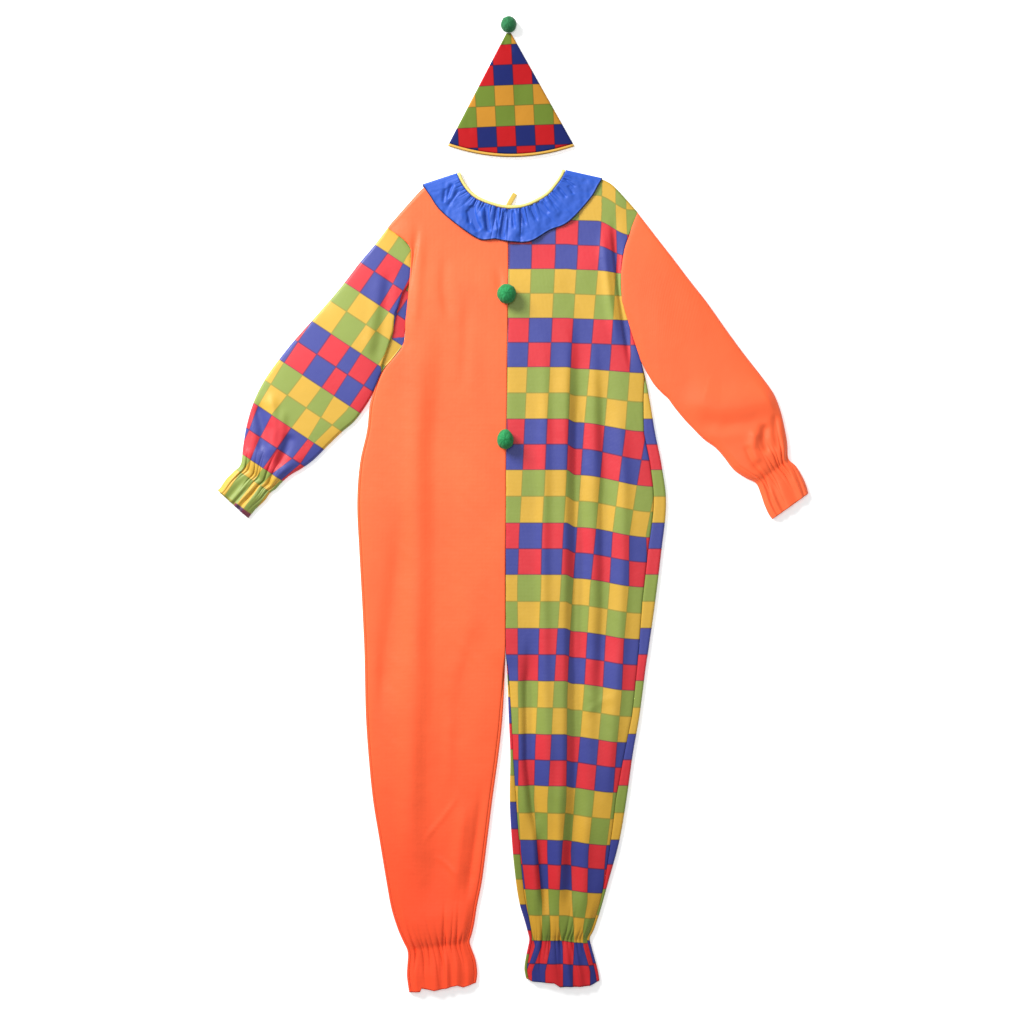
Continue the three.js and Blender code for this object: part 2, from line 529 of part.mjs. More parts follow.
function tapeGrid() {
  const side = new THREE.Vector3(0.87, -0.5, 0).multiplyScalar(TAPE_WIDTH / 2);
  return TAPE.map(({ x, y, z }) => {
    const middle = new THREE.Vector3(x, y, z);
    return [middle.clone().add(side), middle.clone().sub(side)];
  });
}

// ---------------------------------------------------------------- hat

// The hat is a cone laid flat: a narrow end under its ball, and a hem that sags in the middle.
const HAT_TIP = { left: [-12.5, 870], right: [-3.5, 870] };
const HAT_HEM = { left: [-120, 665], right: [113, 664], bow: -23 };
const HAT_ROLL = 2.2;
const HAT_DOME = 5;
const BINDING_FROM = 0.968; // where the hem binding starts, as a share of the way down

// Rings from `from` to `to`, as shares of the way down from the tip to the hem.
function hatGrid({ from, to, count, proud }) {
  const downs = Array.from({ length: count + 1 }, (_, i) => mix(from, to, i / count));
  const rows = downs.map((down) => ({
    lower: new THREE.Vector2(...HAT_TIP.left).lerp(new THREE.Vector2(...HAT_HEM.left), down),
    upper: new THREE.Vector2(...HAT_TIP.right).lerp(new THREE.Vector2(...HAT_HEM.right), down),
  }));
  const shift = (i, across) => new THREE.Vector2(0, HAT_HEM.bow * downs[i] * 4 * across * (1 - across));
  const top = (i, across) => {
    const swell = Math.sqrt(Math.max(0, Math.sin(Math.PI * across)));
    return 2 * HAT_ROLL + proud + HAT_DOME * downs[i] * swell;
  };
  return tubeGrid(rows, { shift, top, over: 9, under: 3, roll: HAT_ROLL });
}

// ---------------------------------------------------------------- balls

const SEAT_SHARE = 0.16; // how much of a ball's height its flat seat takes off

// A soft ball with a flat seat at height `seat`. `wide`, `deep` and `tall` are its full sizes.
function ball({ x, y, seat, wide, deep, tall }) {
  const geometry = new THREE.SphereGeometry(0.5, 14, 9);
  const place = geometry.getAttribute("position");
  for (let i = 0; i < place.count; i++) {
    const up = Math.max(place.getY(i), SEAT_SHARE - 0.5);
    const height = (up + 0.5 - SEAT_SHARE) / (1 - SEAT_SHARE);
    place.setXYZ(i, x + wide * place.getX(i), y - deep * place.getZ(i), seat + tall * height);
  }
  geometry.computeVertexNormals();
  return geometry;
}

const BUTTON_SEAT = SIDE_TOP + DOME + SEAM;
const UPPER_BUTTON = { x: -9, y: 389, seat: BUTTON_SEAT, wide: 36, deep: 37, tall: 30 };
const LOWER_BUTTON = { x: -14, y: 119, seat: BUTTON_SEAT, wide: 32, deep: 38, tall: 30 };
const HAT_POMPOM = { x: -8, y: 885.5, seat: 0, wide: 30, deep: 31, tall: 26 };

// ---------------------------------------------------------------- colours and assembly

const cloth = (color, roughness = 0.6) => new THREE.MeshStandardMaterial({ color, roughness });
const ORANGE_CLOTH = cloth(0xff7a40);
const CHECK_CLOTH = cloth(0x9fb84a);
const BLUE_SATIN = cloth(0x2f62d8, 0.4);
const YELLOW_TAPE = cloth(0xf4d03a);
const GREEN_FELT = cloth(0x15824a, 0.9);

const suit = new THREE.Group();
const hat = new THREE.Group();

function add(group, name, geometry, material) {
  const mesh = new THREE.Mesh(geometry, material);
  mesh.name = name;
  group.add(mesh);
}

// A grid whose columns run the other way, for a wall that is a mirror image of the usual one.
const mirrored = (grid) => grid.map((line) => [...line].reverse());

const orangeHalf = { table: ORANGE, folds: ORANGE_FOLDS };
const checkHalf = { table: CHECK, folds: CHECK_FOLDS };
add(suit, "front_orange", wall(frontGrid(orangeHalf), { plumb: true }), ORANGE_CLOTH);
add(suit, "front_check", wall(mirrored(frontGrid(checkHalf)), { plumb: true }), CHECK_CLOTH);
add(suit, "back_orange", wall(mirrored(backGrid(orangeHalf))), ORANGE_CLOTH);
add(suit, "back_check", wall(backGrid(checkHalf)), CHECK_CLOTH);

const checkSleeve = { table: CHECK_SLEEVE, folds: CHECK_SLEEVE_FOLDS, body: ORANGE, way: -1 };
const orangeSleeve = { table: ORANGE_SLEEVE, folds: ORANGE_SLEEVE_FOLDS, body: CHECK, way: 1 };
add(suit, "sleeve_check", wall(mirrored(sleeveGrid(checkSleeve)), { ring: true }), CHECK_CLOTH);
add(suit, "sleeve_orange", wall(sleeveGrid(orangeSleeve), { ring: true }), ORANGE_CLOTH);

add(suit, "collar_ruffle", wall(collarGrid(), { ring: true }), BLUE_SATIN);
add(suit, "neck_binding", wall(bindingGrid(), { ring: true }), YELLOW_TAPE);
add(suit, "neck_tape", wall(tapeGrid(), { thick: TAPE_THICK }), YELLOW_TAPE);
add(suit, "button_upper", ball(UPPER_BUTTON), GREEN_FELT);
add(suit, "button_lower", ball(LOWER_BUTTON), GREEN_FELT);

const cone = { from: 0, to: BINDING_FROM - 0.003, count: 7, proud: 0 };
const hem = { from: BINDING_FROM, to: 1, count: 1, proud: 0.6 };
add(hat, "hat_cone", wall(hatGrid(cone), { ring: true }), CHECK_CLOTH);
add(hat, "hat_binding", wall(hatGrid(hem), { ring: true }), YELLOW_TAPE);
add(hat, "hat_pompom", ball(HAT_POMPOM), GREEN_FELT);

const costume = new THREE.Group();
costume.add(suit, hat);

export default costume;
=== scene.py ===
# %% [markdown]
# # A clown costume laid flat on a pale floor
# The costume is a one-piece suit and a small cone hat. Half of the suit is plain orange polyester and
# half is printed with coloured checks. A blue satin ruffle is gathered round its neck, and felt balls
# serve as buttons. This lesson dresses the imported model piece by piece: each cloth is a thin shell
# that follows the form of its solid, with finer folds, and gets a finish built from nodes.

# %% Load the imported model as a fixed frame
import math

import bpy
import numpy as np
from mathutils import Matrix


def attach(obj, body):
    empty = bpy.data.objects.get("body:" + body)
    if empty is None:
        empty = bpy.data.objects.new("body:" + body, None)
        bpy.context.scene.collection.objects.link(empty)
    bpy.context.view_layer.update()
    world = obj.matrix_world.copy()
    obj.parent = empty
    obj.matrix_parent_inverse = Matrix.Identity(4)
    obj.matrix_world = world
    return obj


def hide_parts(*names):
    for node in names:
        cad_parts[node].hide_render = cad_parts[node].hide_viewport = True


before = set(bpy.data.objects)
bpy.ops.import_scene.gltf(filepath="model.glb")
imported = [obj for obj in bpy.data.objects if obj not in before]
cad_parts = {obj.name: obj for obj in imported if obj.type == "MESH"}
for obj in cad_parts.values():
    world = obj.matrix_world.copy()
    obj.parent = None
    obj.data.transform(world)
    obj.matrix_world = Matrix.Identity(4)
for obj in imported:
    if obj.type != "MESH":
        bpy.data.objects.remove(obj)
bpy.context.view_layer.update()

# %% [markdown]
# ## The camera
# Flat garments are shown from straight above, so that nothing is foreshortened. A long lens keeps the
# sides of low folds from showing. Its height follows from the width that the view has to hold:
# distance = width x focal length / sensor width.

# %% Camera straight above the layout
VIEW_CENTRE = (-0.00185, -0.0148)
VIEW_WIDTH = 1.894  # metres of floor across the frame
LENS = 70  # mm, on a 36 mm sensor
SENSOR = 36

camera_data = bpy.data.cameras.new("camera")
camera_data.lens = LENS
camera_data.sensor_width = SENSOR
camera_data.clip_end = 50
camera = bpy.data.objects.new("camera", camera_data)
camera.location = (*VIEW_CENTRE, VIEW_WIDTH * LENS / SENSOR)
bpy.context.collection.objects.link(camera)
bpy.context.scene.camera = camera
print("camera height", round(camera.location.z, 3), "m")

# %% [markdown]
# ## Small helpers for shaping cloth
# Every cloth here is a grid of points, worked out in millimetres with numpy, whole arrays at a time.
# `at` reads a table between its rows on a smooth curve, so that a short table of measured sections
# gives a fine surface. `cloth_noise` is smooth seeded noise: the same small unevenness on each run.

# %% Mixing, smoothing and reading tables
def mix(a, b, f):
    return a + (b - a) * f


def smooth(f):
    f = np.clip(f, 0, 1)
    return f * f * (3 - 2 * f)


def at(table, rows):
    last = len(table) - 1
    i = np.clip(np.floor(rows).astype(int), 0, last - 1)
    f = (rows - i)[:, None]
    a, b, c, d = (table[np.clip(i + k, 0, last)] for k in (-1, 0, 1, 2))
    return b + 0.5 * f * (c - a + f * (2 * a - 5 * b + 4 * c - d + f * (3 * (b - c) + d - a)))


def straight(values, rows):
    return np.interp(rows, np.arange(len(values)), values)


def cloth_noise(x, y, step_x, step_y, seed):
    table = np.random.default_rng(seed).uniform(-1, 1, (64, 64))
    u, v = x / step_x, y / step_y
    i, j = np.floor(u).astype(int), np.floor(v).astype(int)
    f, g = smooth(u - i), smooth(v - j)
    near = mix(table[i % 64, j % 64], table[(i + 1) % 64, j % 64], f)
    far = mix(table[i % 64, (j + 1) % 64], table[(i + 1) % 64, (j + 1) % 64], f)
    return mix(near, far, g)


print("half way:", smooth(0.5), "noise sample:", round(float(cloth_noise(3.0, 5.0, 10, 10, 1)), 3))

# %% [markdown]
# ## Folds as lines
# A fold in cloth is a ridge or a trough that follows a line. Here each is a short list of points with a
# height and two widths. Real folds are steeper on one side, so the width to the left of the line's
# direction differs from the width to its right. A line that runs down the body has +X on its left.

# %% Height of a set of folds
def fold_height(fold, x, y):
    lift, left, right, line = fold[:4]
    ends = fold[4] if len(fold) > 4 else 0.2
    best = np.full(np.shape(x), np.inf)
    place = np.zeros(np.shape(x))
    side = np.zeros(np.shape(x))
    for i in range(len(line) - 1):
        (x0, y0), (x1, y1) = line[i], line[i + 1]
        dx, dy = x1 - x0, y1 - y0
        f = np.clip(((x - x0) * dx + (y - y0) * dy) / (dx * dx + dy * dy), 0, 1)
        away = (x - x0 - f * dx) ** 2 + (y - y0 - f * dy) ** 2
        nearer = away < best
        best = np.where(nearer, away, best)
        place = np.where(nearer, (i + f) / (len(line) - 1), place)
        side = np.where(nearer, dx * (y - y0) - dy * (x - x0), side)
    half = np.where(side > 0, left, right)
    return lift * np.exp(-best / half**2) * smooth(place / ends) * smooth((1 - place) / ends)


def folds_at(folds, x, y):
    return sum(fold_height(fold, x, y) for fold in folds)


print("a 3 mm ridge seen 5 mm off its line:",
      round(float(fold_height((3, 10, 20, [(0, 0), (0, -100)]), np.array(5.0), np.array(-50.0))), 2))

# %% [markdown]
# ## From a grid of points to a thin cloth
# A single sheet has no thickness, so its hems look like paper. Thickening it with a modifier would
# work too, but here the inner face is written directly: the same points moved in along the normals.
# Both faces and the rims between them close one shell, and the rims keep a crisp edge. The second set
# of numbers at each point is its place on the flat cloth in metres, which carries the print and the
# weave round every fold.

# %% Shell builder
CLOTH = 0.9  # mm; the real cloth is 0.3, drawn thicker so that its hems catch the light
THIN_CLOTH = 0.8  # for satin and tape
MM = 0.001
made_triangles = {}


def grid_normals(points, ring):
    along = np.gradient(points, axis=0)
    if ring:
        across = np.roll(points, -1, axis=1) - np.roll(points, 1, axis=1)
    else:
        across = np.gradient(points, axis=1)
    normals = np.cross(along, across)
    return normals / np.maximum(np.linalg.norm(normals, axis=2, keepdims=True), 1e-9)


def shell(name, points, flat, ring=False, facing="up", thick=CLOTH):
    rows, columns = points.shape[:2]
    normals = grid_normals(points, ring)
    height = points[..., 2]
    lean = normals[..., 2] if facing == "up" else normals[..., 2] * (height - height.mean())
    normals *= math.copysign(1, lean.sum())
    inner = points - normals * thick
    places = np.concatenate([points.reshape(-1, 3), inner.reshape(-1, 3)]) * MM
    index = np.arange(rows * columns).reshape(rows, columns)
    flat_index = np.arange(rows * flat.shape[1]).reshape(rows, flat.shape[1])
    if ring:
        index = np.concatenate([index, index[:, :1]], axis=1)
    else:
        flat_index = flat_index[:, :columns]

    def quads(grid):
        return np.stack([grid[:-1, :-1], grid[1:, :-1], grid[1:, 1:], grid[:-1, 1:]], axis=-1).reshape(-1, 4)

    def rim(edge, cut):
        low, high = edge + rows * columns, edge
        ring_faces = np.stack([high[:-1], high[1:], low[1:], low[:-1]], axis=-1)
        return ring_faces, np.stack([cut[:-1], cut[1:], cut[1:], cut[:-1]], axis=-1)

    outer_faces, outer_cut = quads(index), quads(flat_index)
    faces = [outer_faces, outer_faces[:, ::-1] + rows * columns]
    cuts = [outer_cut, outer_cut[:, ::-1]]
    rims = [(index[0], flat_index[0]), (index[-1][::-1], flat_index[-1][::-1])]
    if not ring:
        rims += [(index[:, 0][::-1], flat_index[:, 0][::-1]), (index[:, -1], flat_index[:, -1])]
    for edge, cut in rims:
        rim_faces, rim_cut = rim(edge, cut)
        faces.append(rim_faces)
        cuts.append(rim_cut)
    faces, cuts = np.concatenate(faces), np.concatenate(cuts)
    rounded = np.arange(len(faces)) < 2 * len(outer_faces)
    corners = places[faces[:, :3]]
    volume = np.einsum("ij,ij->i", corners[:, 0], np.cross(corners[:, 1], corners[:, 2])).sum()
    if volume < 0:
        faces, cuts = faces[:, ::-1], cuts[:, ::-1]
    return cloth_mesh(name, places, faces, flat.reshape(-1, 2)[cuts.ravel()], rounded)


def cloth_mesh(name, places, faces, corner_places, rounded):
    mesh = bpy.data.meshes.new(name)
    mesh.from_pydata(places.tolist(), [], faces.tolist())
    layer = mesh.uv_layers.new(name="cloth")
    layer.data.foreach_set("uv", np.asarray(corner_places, dtype=np.float32).ravel())
    mesh.polygons.foreach_set("use_smooth", rounded)
    mesh.validate()
    mesh.update()
    piece = bpy.data.objects.new(name, mesh)
    bpy.context.collection.objects.link(piece)
    made_triangles[name] = 2 * len(faces)
    print(name, "triangles", made_triangles[name])
    return piece


print("cloth is drawn", CLOTH, "mm thick")

# %% [markdown]
# ## Sections of the suit
# The suit is cut as two halves that meet on a centre seam. Each row below is one section of a half, from
# the hem to the shoulder: its point on the centre seam, inside leg or neck, its point on the side or
# armhole, and how far in from each edge the seam lies where the back panel turns up and over it.

# %% Tables of the two halves, mm
# centre x, centre y, side x, side y, bend, turn-up at the leg, turn-up at the side
ORANGE = np.array([
    (-68, -884, -192, -902, 0, 5, 5), (-66, -866, -196, -872, 0, 5, 5),
    (-69, -842, -195, -850, 0, 5, 5), (-77, -820, -194, -834, 0, 5, 5),
    (-80, -808, -196, -822, 0, 5, 5), (-76, -795, -203, -808, 0, 5, 5),
    (-71, -772, -214, -782, 0, 5, 5), (-66, -740, -225, -746, 0, 5, 5),
    (-57, -695, -234, -697, 0, 5, 5), (-48, -625, -246, -625, 0, 5, 5),
    (-38, -545, -259, -545, 0, 5, 5), (-27, -465, -267, -465, 0, 5, 5),
    (-19, -390, -272, -390, 0, 5, 5), (-15, -305, -274, -305, 0, 2, 5),
    (-14, -265, -275, -265, 0, 0, 5), (-14, -180, -279, -180, 0, 0, 5),
    (-14, -90, -284, -90, 0, 0, 5), (-13, 0, -288, 0, 0, 0, 5),
    (-13, 80, -283, 75, 0, 0, 5), (-12, 150, -270, 135, 0, 0, 5),
    (-11, 215, -263, 190, 0, 0, 5), (-11, 275, -242.5, 243.5, 0, 0, 2),
    (-10, 330, -204, 292, 0, 0, 0), (-10, 385, -198.5, 340, 0, 0, 0),
    (-9, 435, -193, 393, 0, 0, 0), (-9, 482, -189, 440, 2, 0, 0),
    (-9, 522, -189, 471, 6, 0, 0), (-9, 547, -203, 489, 12, 0, 0),
    (-46, 558, -217, 499, 21, 0, 0), (-80, 579, -226, 505, 26, 0, 0),
    (-93, 598, -232, 511, 27, 0, 0),
], dtype=float)
CHECK = np.array([
    (24, -876, 160, -880, -12, 5, 5), (21, -858, 157, -861, -8, 5, 5),
    (24, -836, 151, -838, -4, 5, 5), (28, -817, 145, -817, 0, 5, 5),
    (30, -804, 142, -802, 0, 5, 5), (27, -790, 149, -788, 0, 7, 5),
    (21, -768, 157, -765, 0, 9, 5), (12, -738, 166, -735, 0, 12, 5),
    (5, -695, 177, -695, 0, 13, 7), (-2, -625, 196, -625, 0, 14, 16),
    (-6, -545, 210, -545, 0, 12, 20), (-5, -465, 221, -465, 0, 5, 16),
    (-8, -390, 234, -390, 0, 5, 14), (-11, -305, 245, -305, 0, 2, 16),
    (-14, -265, 251, -265, 0, 0, 18), (-14, -180, 263, -180, 0, 0, 24),
    (-14, -90, 274, -90, 0, 0, 25), (-13, 0, 283, 0, 0, 0, 23),
    (-13, 75, 275, 70, 0, 0, 21), (-12, 140, 263, 130, 0, 0, 21),
    (-11, 200, 253, 190, 0, 0, 12), (-11, 250, 245, 232, 0, 0, 2),
    (-10, 305, 236, 266, 0, 0, 0), (-10, 365, 219, 318, 0, 0, 0),
    (-9, 425, 202, 376, 0, 0, 0), (-9, 480, 200, 430, 3, 0, 0),
    (-9, 522, 206, 471, 7, 0, 0), (-9, 547, 214, 494, 12, 0, 0),
    (38, 558, 220, 510, 22, 0, 0), (73, 582, 225.5, 524, 27, 0, 0),
    (85, 603, 231.5, 538, 29, 0, 0),
], dtype=float)
ANKLE_ROW = 4
ARMPIT_ROW = 22
print("length from hem to shoulder:", ORANGE[:, 3].max() - ORANGE[:, 3].min(), "mm at the side")

# %% [markdown]
# ## Heights of the suit
# The cloth lies in two layers with a soft turn at each side. The front stands a few millimetres over
# its side seams, dips along its folds and is held down where elastic gathers it. Every piece uses the
# heights below, so pieces that meet on the floor plan also meet in height.

# %% Heights and steps, mm
SEAM_SHOWN = 0.06  # a sewn seam leaves hardly any gap
ROLL = 3.4  # radius of the turn at the side of a flattened tube
SIDE_TOP = 2 * ROLL
DOME = 4  # how far the air inside lifts the middle of a front
LOWEST_FRONT = 3.7
SHOULDER_TOP = 3.7
NECK_TOP = 7.5
NECK_LIFT = 2
ROW_STEP = 5.5  # between rows of a fine grid
FRONT_COLUMNS = 92
print("a flattened tube stands", SIDE_TOP, "mm high at its side")

# %% [markdown]
# ## Gathers at an elastic
# Elastic in a channel draws the cloth together in puckers. Each pucker is a sharp valley with its own
# place, depth, slant and length, drawn from seeded numbers so that no two are alike. Above the elastic
# the cloth swells, because it has more width than room, and the frill below opens into broad flutes.

# %% Puckers and flutes
PUCKER_PUFF = 3.6  # mm that the cloth swells just above an elastic
FLUTE_HEIGHT = 3
FLUTES = 4.3  # of them across one frill


def puckers(across, above, count, seed, depth=5.4, up=25, down=38):
    draw = np.random.default_rng(seed)
    total = 0
    for k in range(count):
        centre = (k + 0.5 + draw.uniform(-0.36, 0.36)) / count
        slant, width = draw.uniform(-0.35, 0.35) / count, draw.uniform(0.1, 0.24) / count
        longer, lower = up * draw.uniform(0.4, 1.7), down * draw.uniform(0.2, 1.4)
        fade = np.exp(-(np.maximum(above, 0) / longer) ** 1.5 - (np.maximum(-above, 0) / lower) ** 1.5)
        aside = np.abs(across - centre - slant * above / 30)
        total = total - depth * draw.uniform(0.4, 1.2) * np.exp(-aside / width) * fade
    return total


def gathers(count, across, above, seed, puff=22, base=2.6):
    up, down = np.maximum(above, 0), np.maximum(-above, 0)
    body = base * np.exp(-up / 50) + PUCKER_PUFF * up / puff * np.exp(1 - up / puff)
    turns = FLUTES * across + 0.3 * np.sin(8 * across + seed) + 0.37 * seed
    flute = 0.5 + 0.5 * np.cos(2 * np.pi * turns)
    return body + FLUTE_HEIGHT * smooth(down / 45) * (flute - 0.45) + puckers(across, above, count, seed)


sample = puckers(np.linspace(0, 1, 200), np.zeros(200), 13, 3)
print("deepest of 13 puckers:", round(float(sample.min()), 2), "mm")

# %% [markdown]
# ## Laying out a section
# `fine_rows` says how finely the rows between two sections are cut. `lay_out` places points along one
# section on the floor plan: most are straight, and those at the shoulder are bent, because the neck
# edge rises above the armhole. `under_collar` is 1 beneath the ruffle and fades to 0 beyond it.

# %% Rows, bends and the rise to the neck
SHOULDER_FALL = (1.74, 2.4)  # slope of the outer shoulder of the orange and of the checked half
SHOULDER_CORNER = 0.004  # how softly that slope meets the bend of the neck


def under_collar(x, y):
    reach = np.hypot(x / 172, (y - 640) / 160)
    return 1 - smooth((reach - 1.2) / 0.35)


def fine_rows(table, step=ROW_STEP):
    gaps = np.hypot(*(np.diff(table[:, 2:4], axis=0)).T)
    pieces = [np.linspace(i, i + 1, max(2, math.ceil(gap / step)), endpoint=False)
              for i, gap in enumerate(gaps)]
    return np.concatenate([*pieces, [len(table) - 1]])


def lay_out(section, along):
    centre, side, bend = section[:, None, 0:2], section[:, None, 2:4], section[:, 4:5]
    length = np.linalg.norm(side - centre, axis=2, keepdims=True)
    unit = (side - centre) / length
    up = np.stack([-unit[..., 1], unit[..., 0]], axis=-1) * np.sign(unit[..., :1])
    f = along / length[..., 0]
    arch = 4 * f * (1 - f)
    straight_out = np.where(unit[..., 0] < 0, *SHOULDER_FALL) * (1 - f)
    shoulder = (arch + straight_out - np.sqrt((arch - straight_out) ** 2 + SHOULDER_CORNER)) / 2
    arch = mix(arch, shoulder, np.clip((bend - 6) / 10, 0, 1))
    return centre + unit * along[..., None] + up * (bend * arch)[..., None]


print("rows in a fine half:", len(fine_rows(ORANGE)))

# %% [markdown]
# ## Folds of the two fronts
# The suit lies in long soft folds from the chest to the ankles. In the checked half two deep ones hide
# a strip of the print. Each has a crisp crest on one side and opens slowly on the other.

# %% Fold lines, mm: lift, width on the +X side, width on the -X side, line from top to bottom
ORANGE_FOLDS = [
    (-5.2, 60, 28, [(-124, 420), (-132, 222), (-140, 81), (-140, -104), (-141, -326), (-149, -455),
                    (-146, -566), (-134, -640), (-146, -720), (-160, -780)], 0.2),
    (3.6, 20, 22, [(-164, 360), (-172, 222), (-178, 81), (-178, -104), (-180, -326), (-188, -455),
                   (-190, -566), (-188, -640), (-184, -720)], 0.2),
    (-5, 30, 20, [(-198, 60), (-210, -104), (-222, -215), (-236, -326), (-246, -420)], 0.3),
    (-2.6, 26, 16, [(-58, -200), (-70, -252), (-92, -326), (-103, -390), (-110, -455), (-122, -560)], 0.3),
    (2, 12, 12, [(-112, -360), (-118, -455), (-122, -540)], 0.3),
    (-4, 12, 10, [(-48, -500), (-62, -600), (-76, -677), (-84, -745)], 0.3),
    (3, 12, 12, [(-86, -540), (-100, -640), (-108, -730)], 0.3),
    (-2, 12, 10, [(-126, 480), (-128, 400), (-118, 330)], 0.3),
    (-1.2, 12, 10, [(-84, 400), (-88, 300), (-92, 200)], 0.3),
    (-4.5, 3, 8, [(-169, 578), (-172, 535), (-176, 497), (-181, 468), (-187, 438), (-192, 390)]),
    (1.6, 9, 9, [(-160, 580), (-168, 490), (-176, 400), (-184, 300)]),
    (-2.6, 5, 10, [(-50, 486), (-40, 466), (-28, 440), (-23, 412), (-25, 372)], 0.3),
    (1.4, 3.5, 3.5, [(-98, -536), (-130, -580), (-170, -627)], 0.3),
    (1.4, 3.5, 3.5, [(-100, -690), (-124, -664), (-150, -646)], 0.3),
]
CHECK_FOLDS = [
    (-8, 26, 14, [(126, 420), (123, 250), (121, 60), (120, -100), (119, -300), (118, -480), (116, -560),
                  (110, -640), (107, -720), (104, -790)]),
    (4.5, 12, 10, [(86, -480), (85, -620), (84, -760)], 0.25),
    (4, 12, 12, [(134, -540), (130, -680), (126, -770)], 0.25),
    (3.5, 10, 10, [(46, -560), (40, -660), (44, -770)], 0.25),
    (4, 10, 22, [(104, 380), (98, 200), (96, 60), (94, -100), (92, -300), (90, -480), (92, -620)]),
    (4, 12, 12, [(60, 330), (58, 120), (56, -100), (58, -300), (64, -480), (70, -640)]),
    (3, 14, 14, [(146, 330), (144, 100), (142, -120), (138, -320), (136, -520), (134, -700)]),
    (-6, 20, 11, [(160, 340), (166, 200), (170, 60), (168, -60), (168, -200), (162, -320),
                  (154, -500)], 0.25),
    (4, 13, 13, [(192, 200), (204, 40), (204, -100), (196, -260), (184, -420), (172, -580)]),
    (-7.5, 14, 8, [(32, -230), (28, -330), (28, -470), (38, -560), (50, -640), (58, -720), (64, -785)]),
    (4, 11, 11, [(4, -260), (4, -380), (8, -500), (22, -600)]),
    (-5.5, 11, 4, [(176, 600), (180, 540), (187, 479), (195, 405), (207, 318), (219, 231)]),
    (4, 9, 9, [(160, 560), (168, 470), (178, 380), (196, 280)]),
    (1.4, 4, 6, [(130, -350), (160, -362), (196, -356)], 0.3),
    (1.4, 4, 6, [(128, -392), (150, -372), (170, -366)], 0.3),
]
print("folds:", len(ORANGE_FOLDS), "orange,", len(CHECK_FOLDS), "checked")

# %% [markdown]
# ## The fronts
# A front runs from its hem to its shoulder. Along the seams the cloth sinks a little, because the
# stitches pull it down, and that thin groove is what makes a seam read from a distance. The hem of
# the frill rises and falls with its flutes, so a short table moves it up or down from a straight line.

# %% Front panels
# place across, how far the hem rises there, mm
ORANGE_HEM = ([-192, -171, -169, -146, -123, -103, -92, -68], [0, -1, 5, -2.4, -1.3, 1.3, -4.4, 0])
CHECK_HEM = ([24, 35, 55, 76, 87, 102, 142, 160], [0, -0.8, 3, 5.4, -1.5, 0, -3.5, 0])
ANKLE_REACH = 60  # mm above and below the elastic where it holds the cloth down
ANKLE_PUCKERS = 13
STITCH_WIDTH = 2.5  # mm beside a seam that the stitches pull down


def uneven_hem(x, above):
    rise = np.where(x < 0, np.interp(x, *ORANGE_HEM), np.interp(x, *CHECK_HEM))
    return rise * smooth(-above / ANKLE_REACH)


def front_form(table, folds, rows, seed, stitch):
    section = at(table, rows)
    leg_wrap, side_wrap = straight(table[:, 5], rows), straight(table[:, 6], rows)
    inset = [np.where(w < 2, mix(SEAM_SHOWN / 2, 2 + SEAM_SHOWN, w / 2), w + SEAM_SHOWN)[:, None]
             for w in (leg_wrap, side_wrap)]
    length = np.linalg.norm(section[:, 2:4] - section[:, 0:2], axis=1)[:, None]
    across = np.linspace(0, 1, FRONT_COLUMNS + 1)[None, :]
    along = mix(inset[0], length - inset[1], across)
    spot = lay_out(section, along)
    x, y = spot[..., 0], spot[..., 1]
    leg = np.clip(leg_wrap / 2, 0, 1)[:, None]
    dome = np.maximum(0, mix(np.cos(np.pi / 2 * across), np.sin(np.pi * across), leg))
    at_armhole = smooth((rows - ARMPIT_ROW) / 2)[:, None]
    edge = smooth((1 - across) * mix(9, 40, at_armhole)) * mix(1, smooth(across * 9), leg)
    above = y - mix(table[ANKLE_ROW, 1], table[ANKLE_ROW, 3], across)
    free = mix(0.1, 1, smooth(np.abs(above) / ANKLE_REACH))
    soft = 0.5 * cloth_noise(x, y, 26, 120, seed) + 0.25 * cloth_noise(x + y, y - x, 17, 40, seed + 1)
    relief = edge * (free * (folds_at(folds, x, y) + soft) + gathers(ANKLE_PUCKERS, across, above, seed))
    height = np.maximum(LOWEST_FRONT, SIDE_TOP + DOME * np.sqrt(dome) * free + relief)
    to_shoulder = (len(table) - 1 - rows)[:, None]
    height = mix(SHOULDER_TOP, height, smooth(to_shoulder / 3))
    height = mix(height, NECK_TOP, under_collar(x, y))
    from_seams = np.minimum(along - inset[0], length - inset[1] - along)
    height -= stitch * np.exp(-(from_seams / STITCH_WIDTH) ** 2) * smooth(to_shoulder / 2)
    return x, y + uneven_hem(x, above), height, across


def front_orange_sheet():
    x, y, z, _ = front_form(ORANGE, ORANGE_FOLDS, fine_rows(ORANGE), 3, 0.06)
    return shell("front_orange_cloth", np.stack([x, y, z], axis=-1), np.stack([x, y], axis=-1) * MM)


front_orange = front_orange_sheet()

# %% [markdown]
# ## The printed checks
# The print repeats every two columns and four rows: two rows of red and blue squares, then two of yellow
# and green. Its columns and rows are counted in cloth coordinates, and where a fold hides a strip of
# the cloth the column lines lie closer together. The table gives the column lines at several heights.

# %% Print lines on the front
SQUARE = (41.6, 47.4)  # mm, one printed square across and along
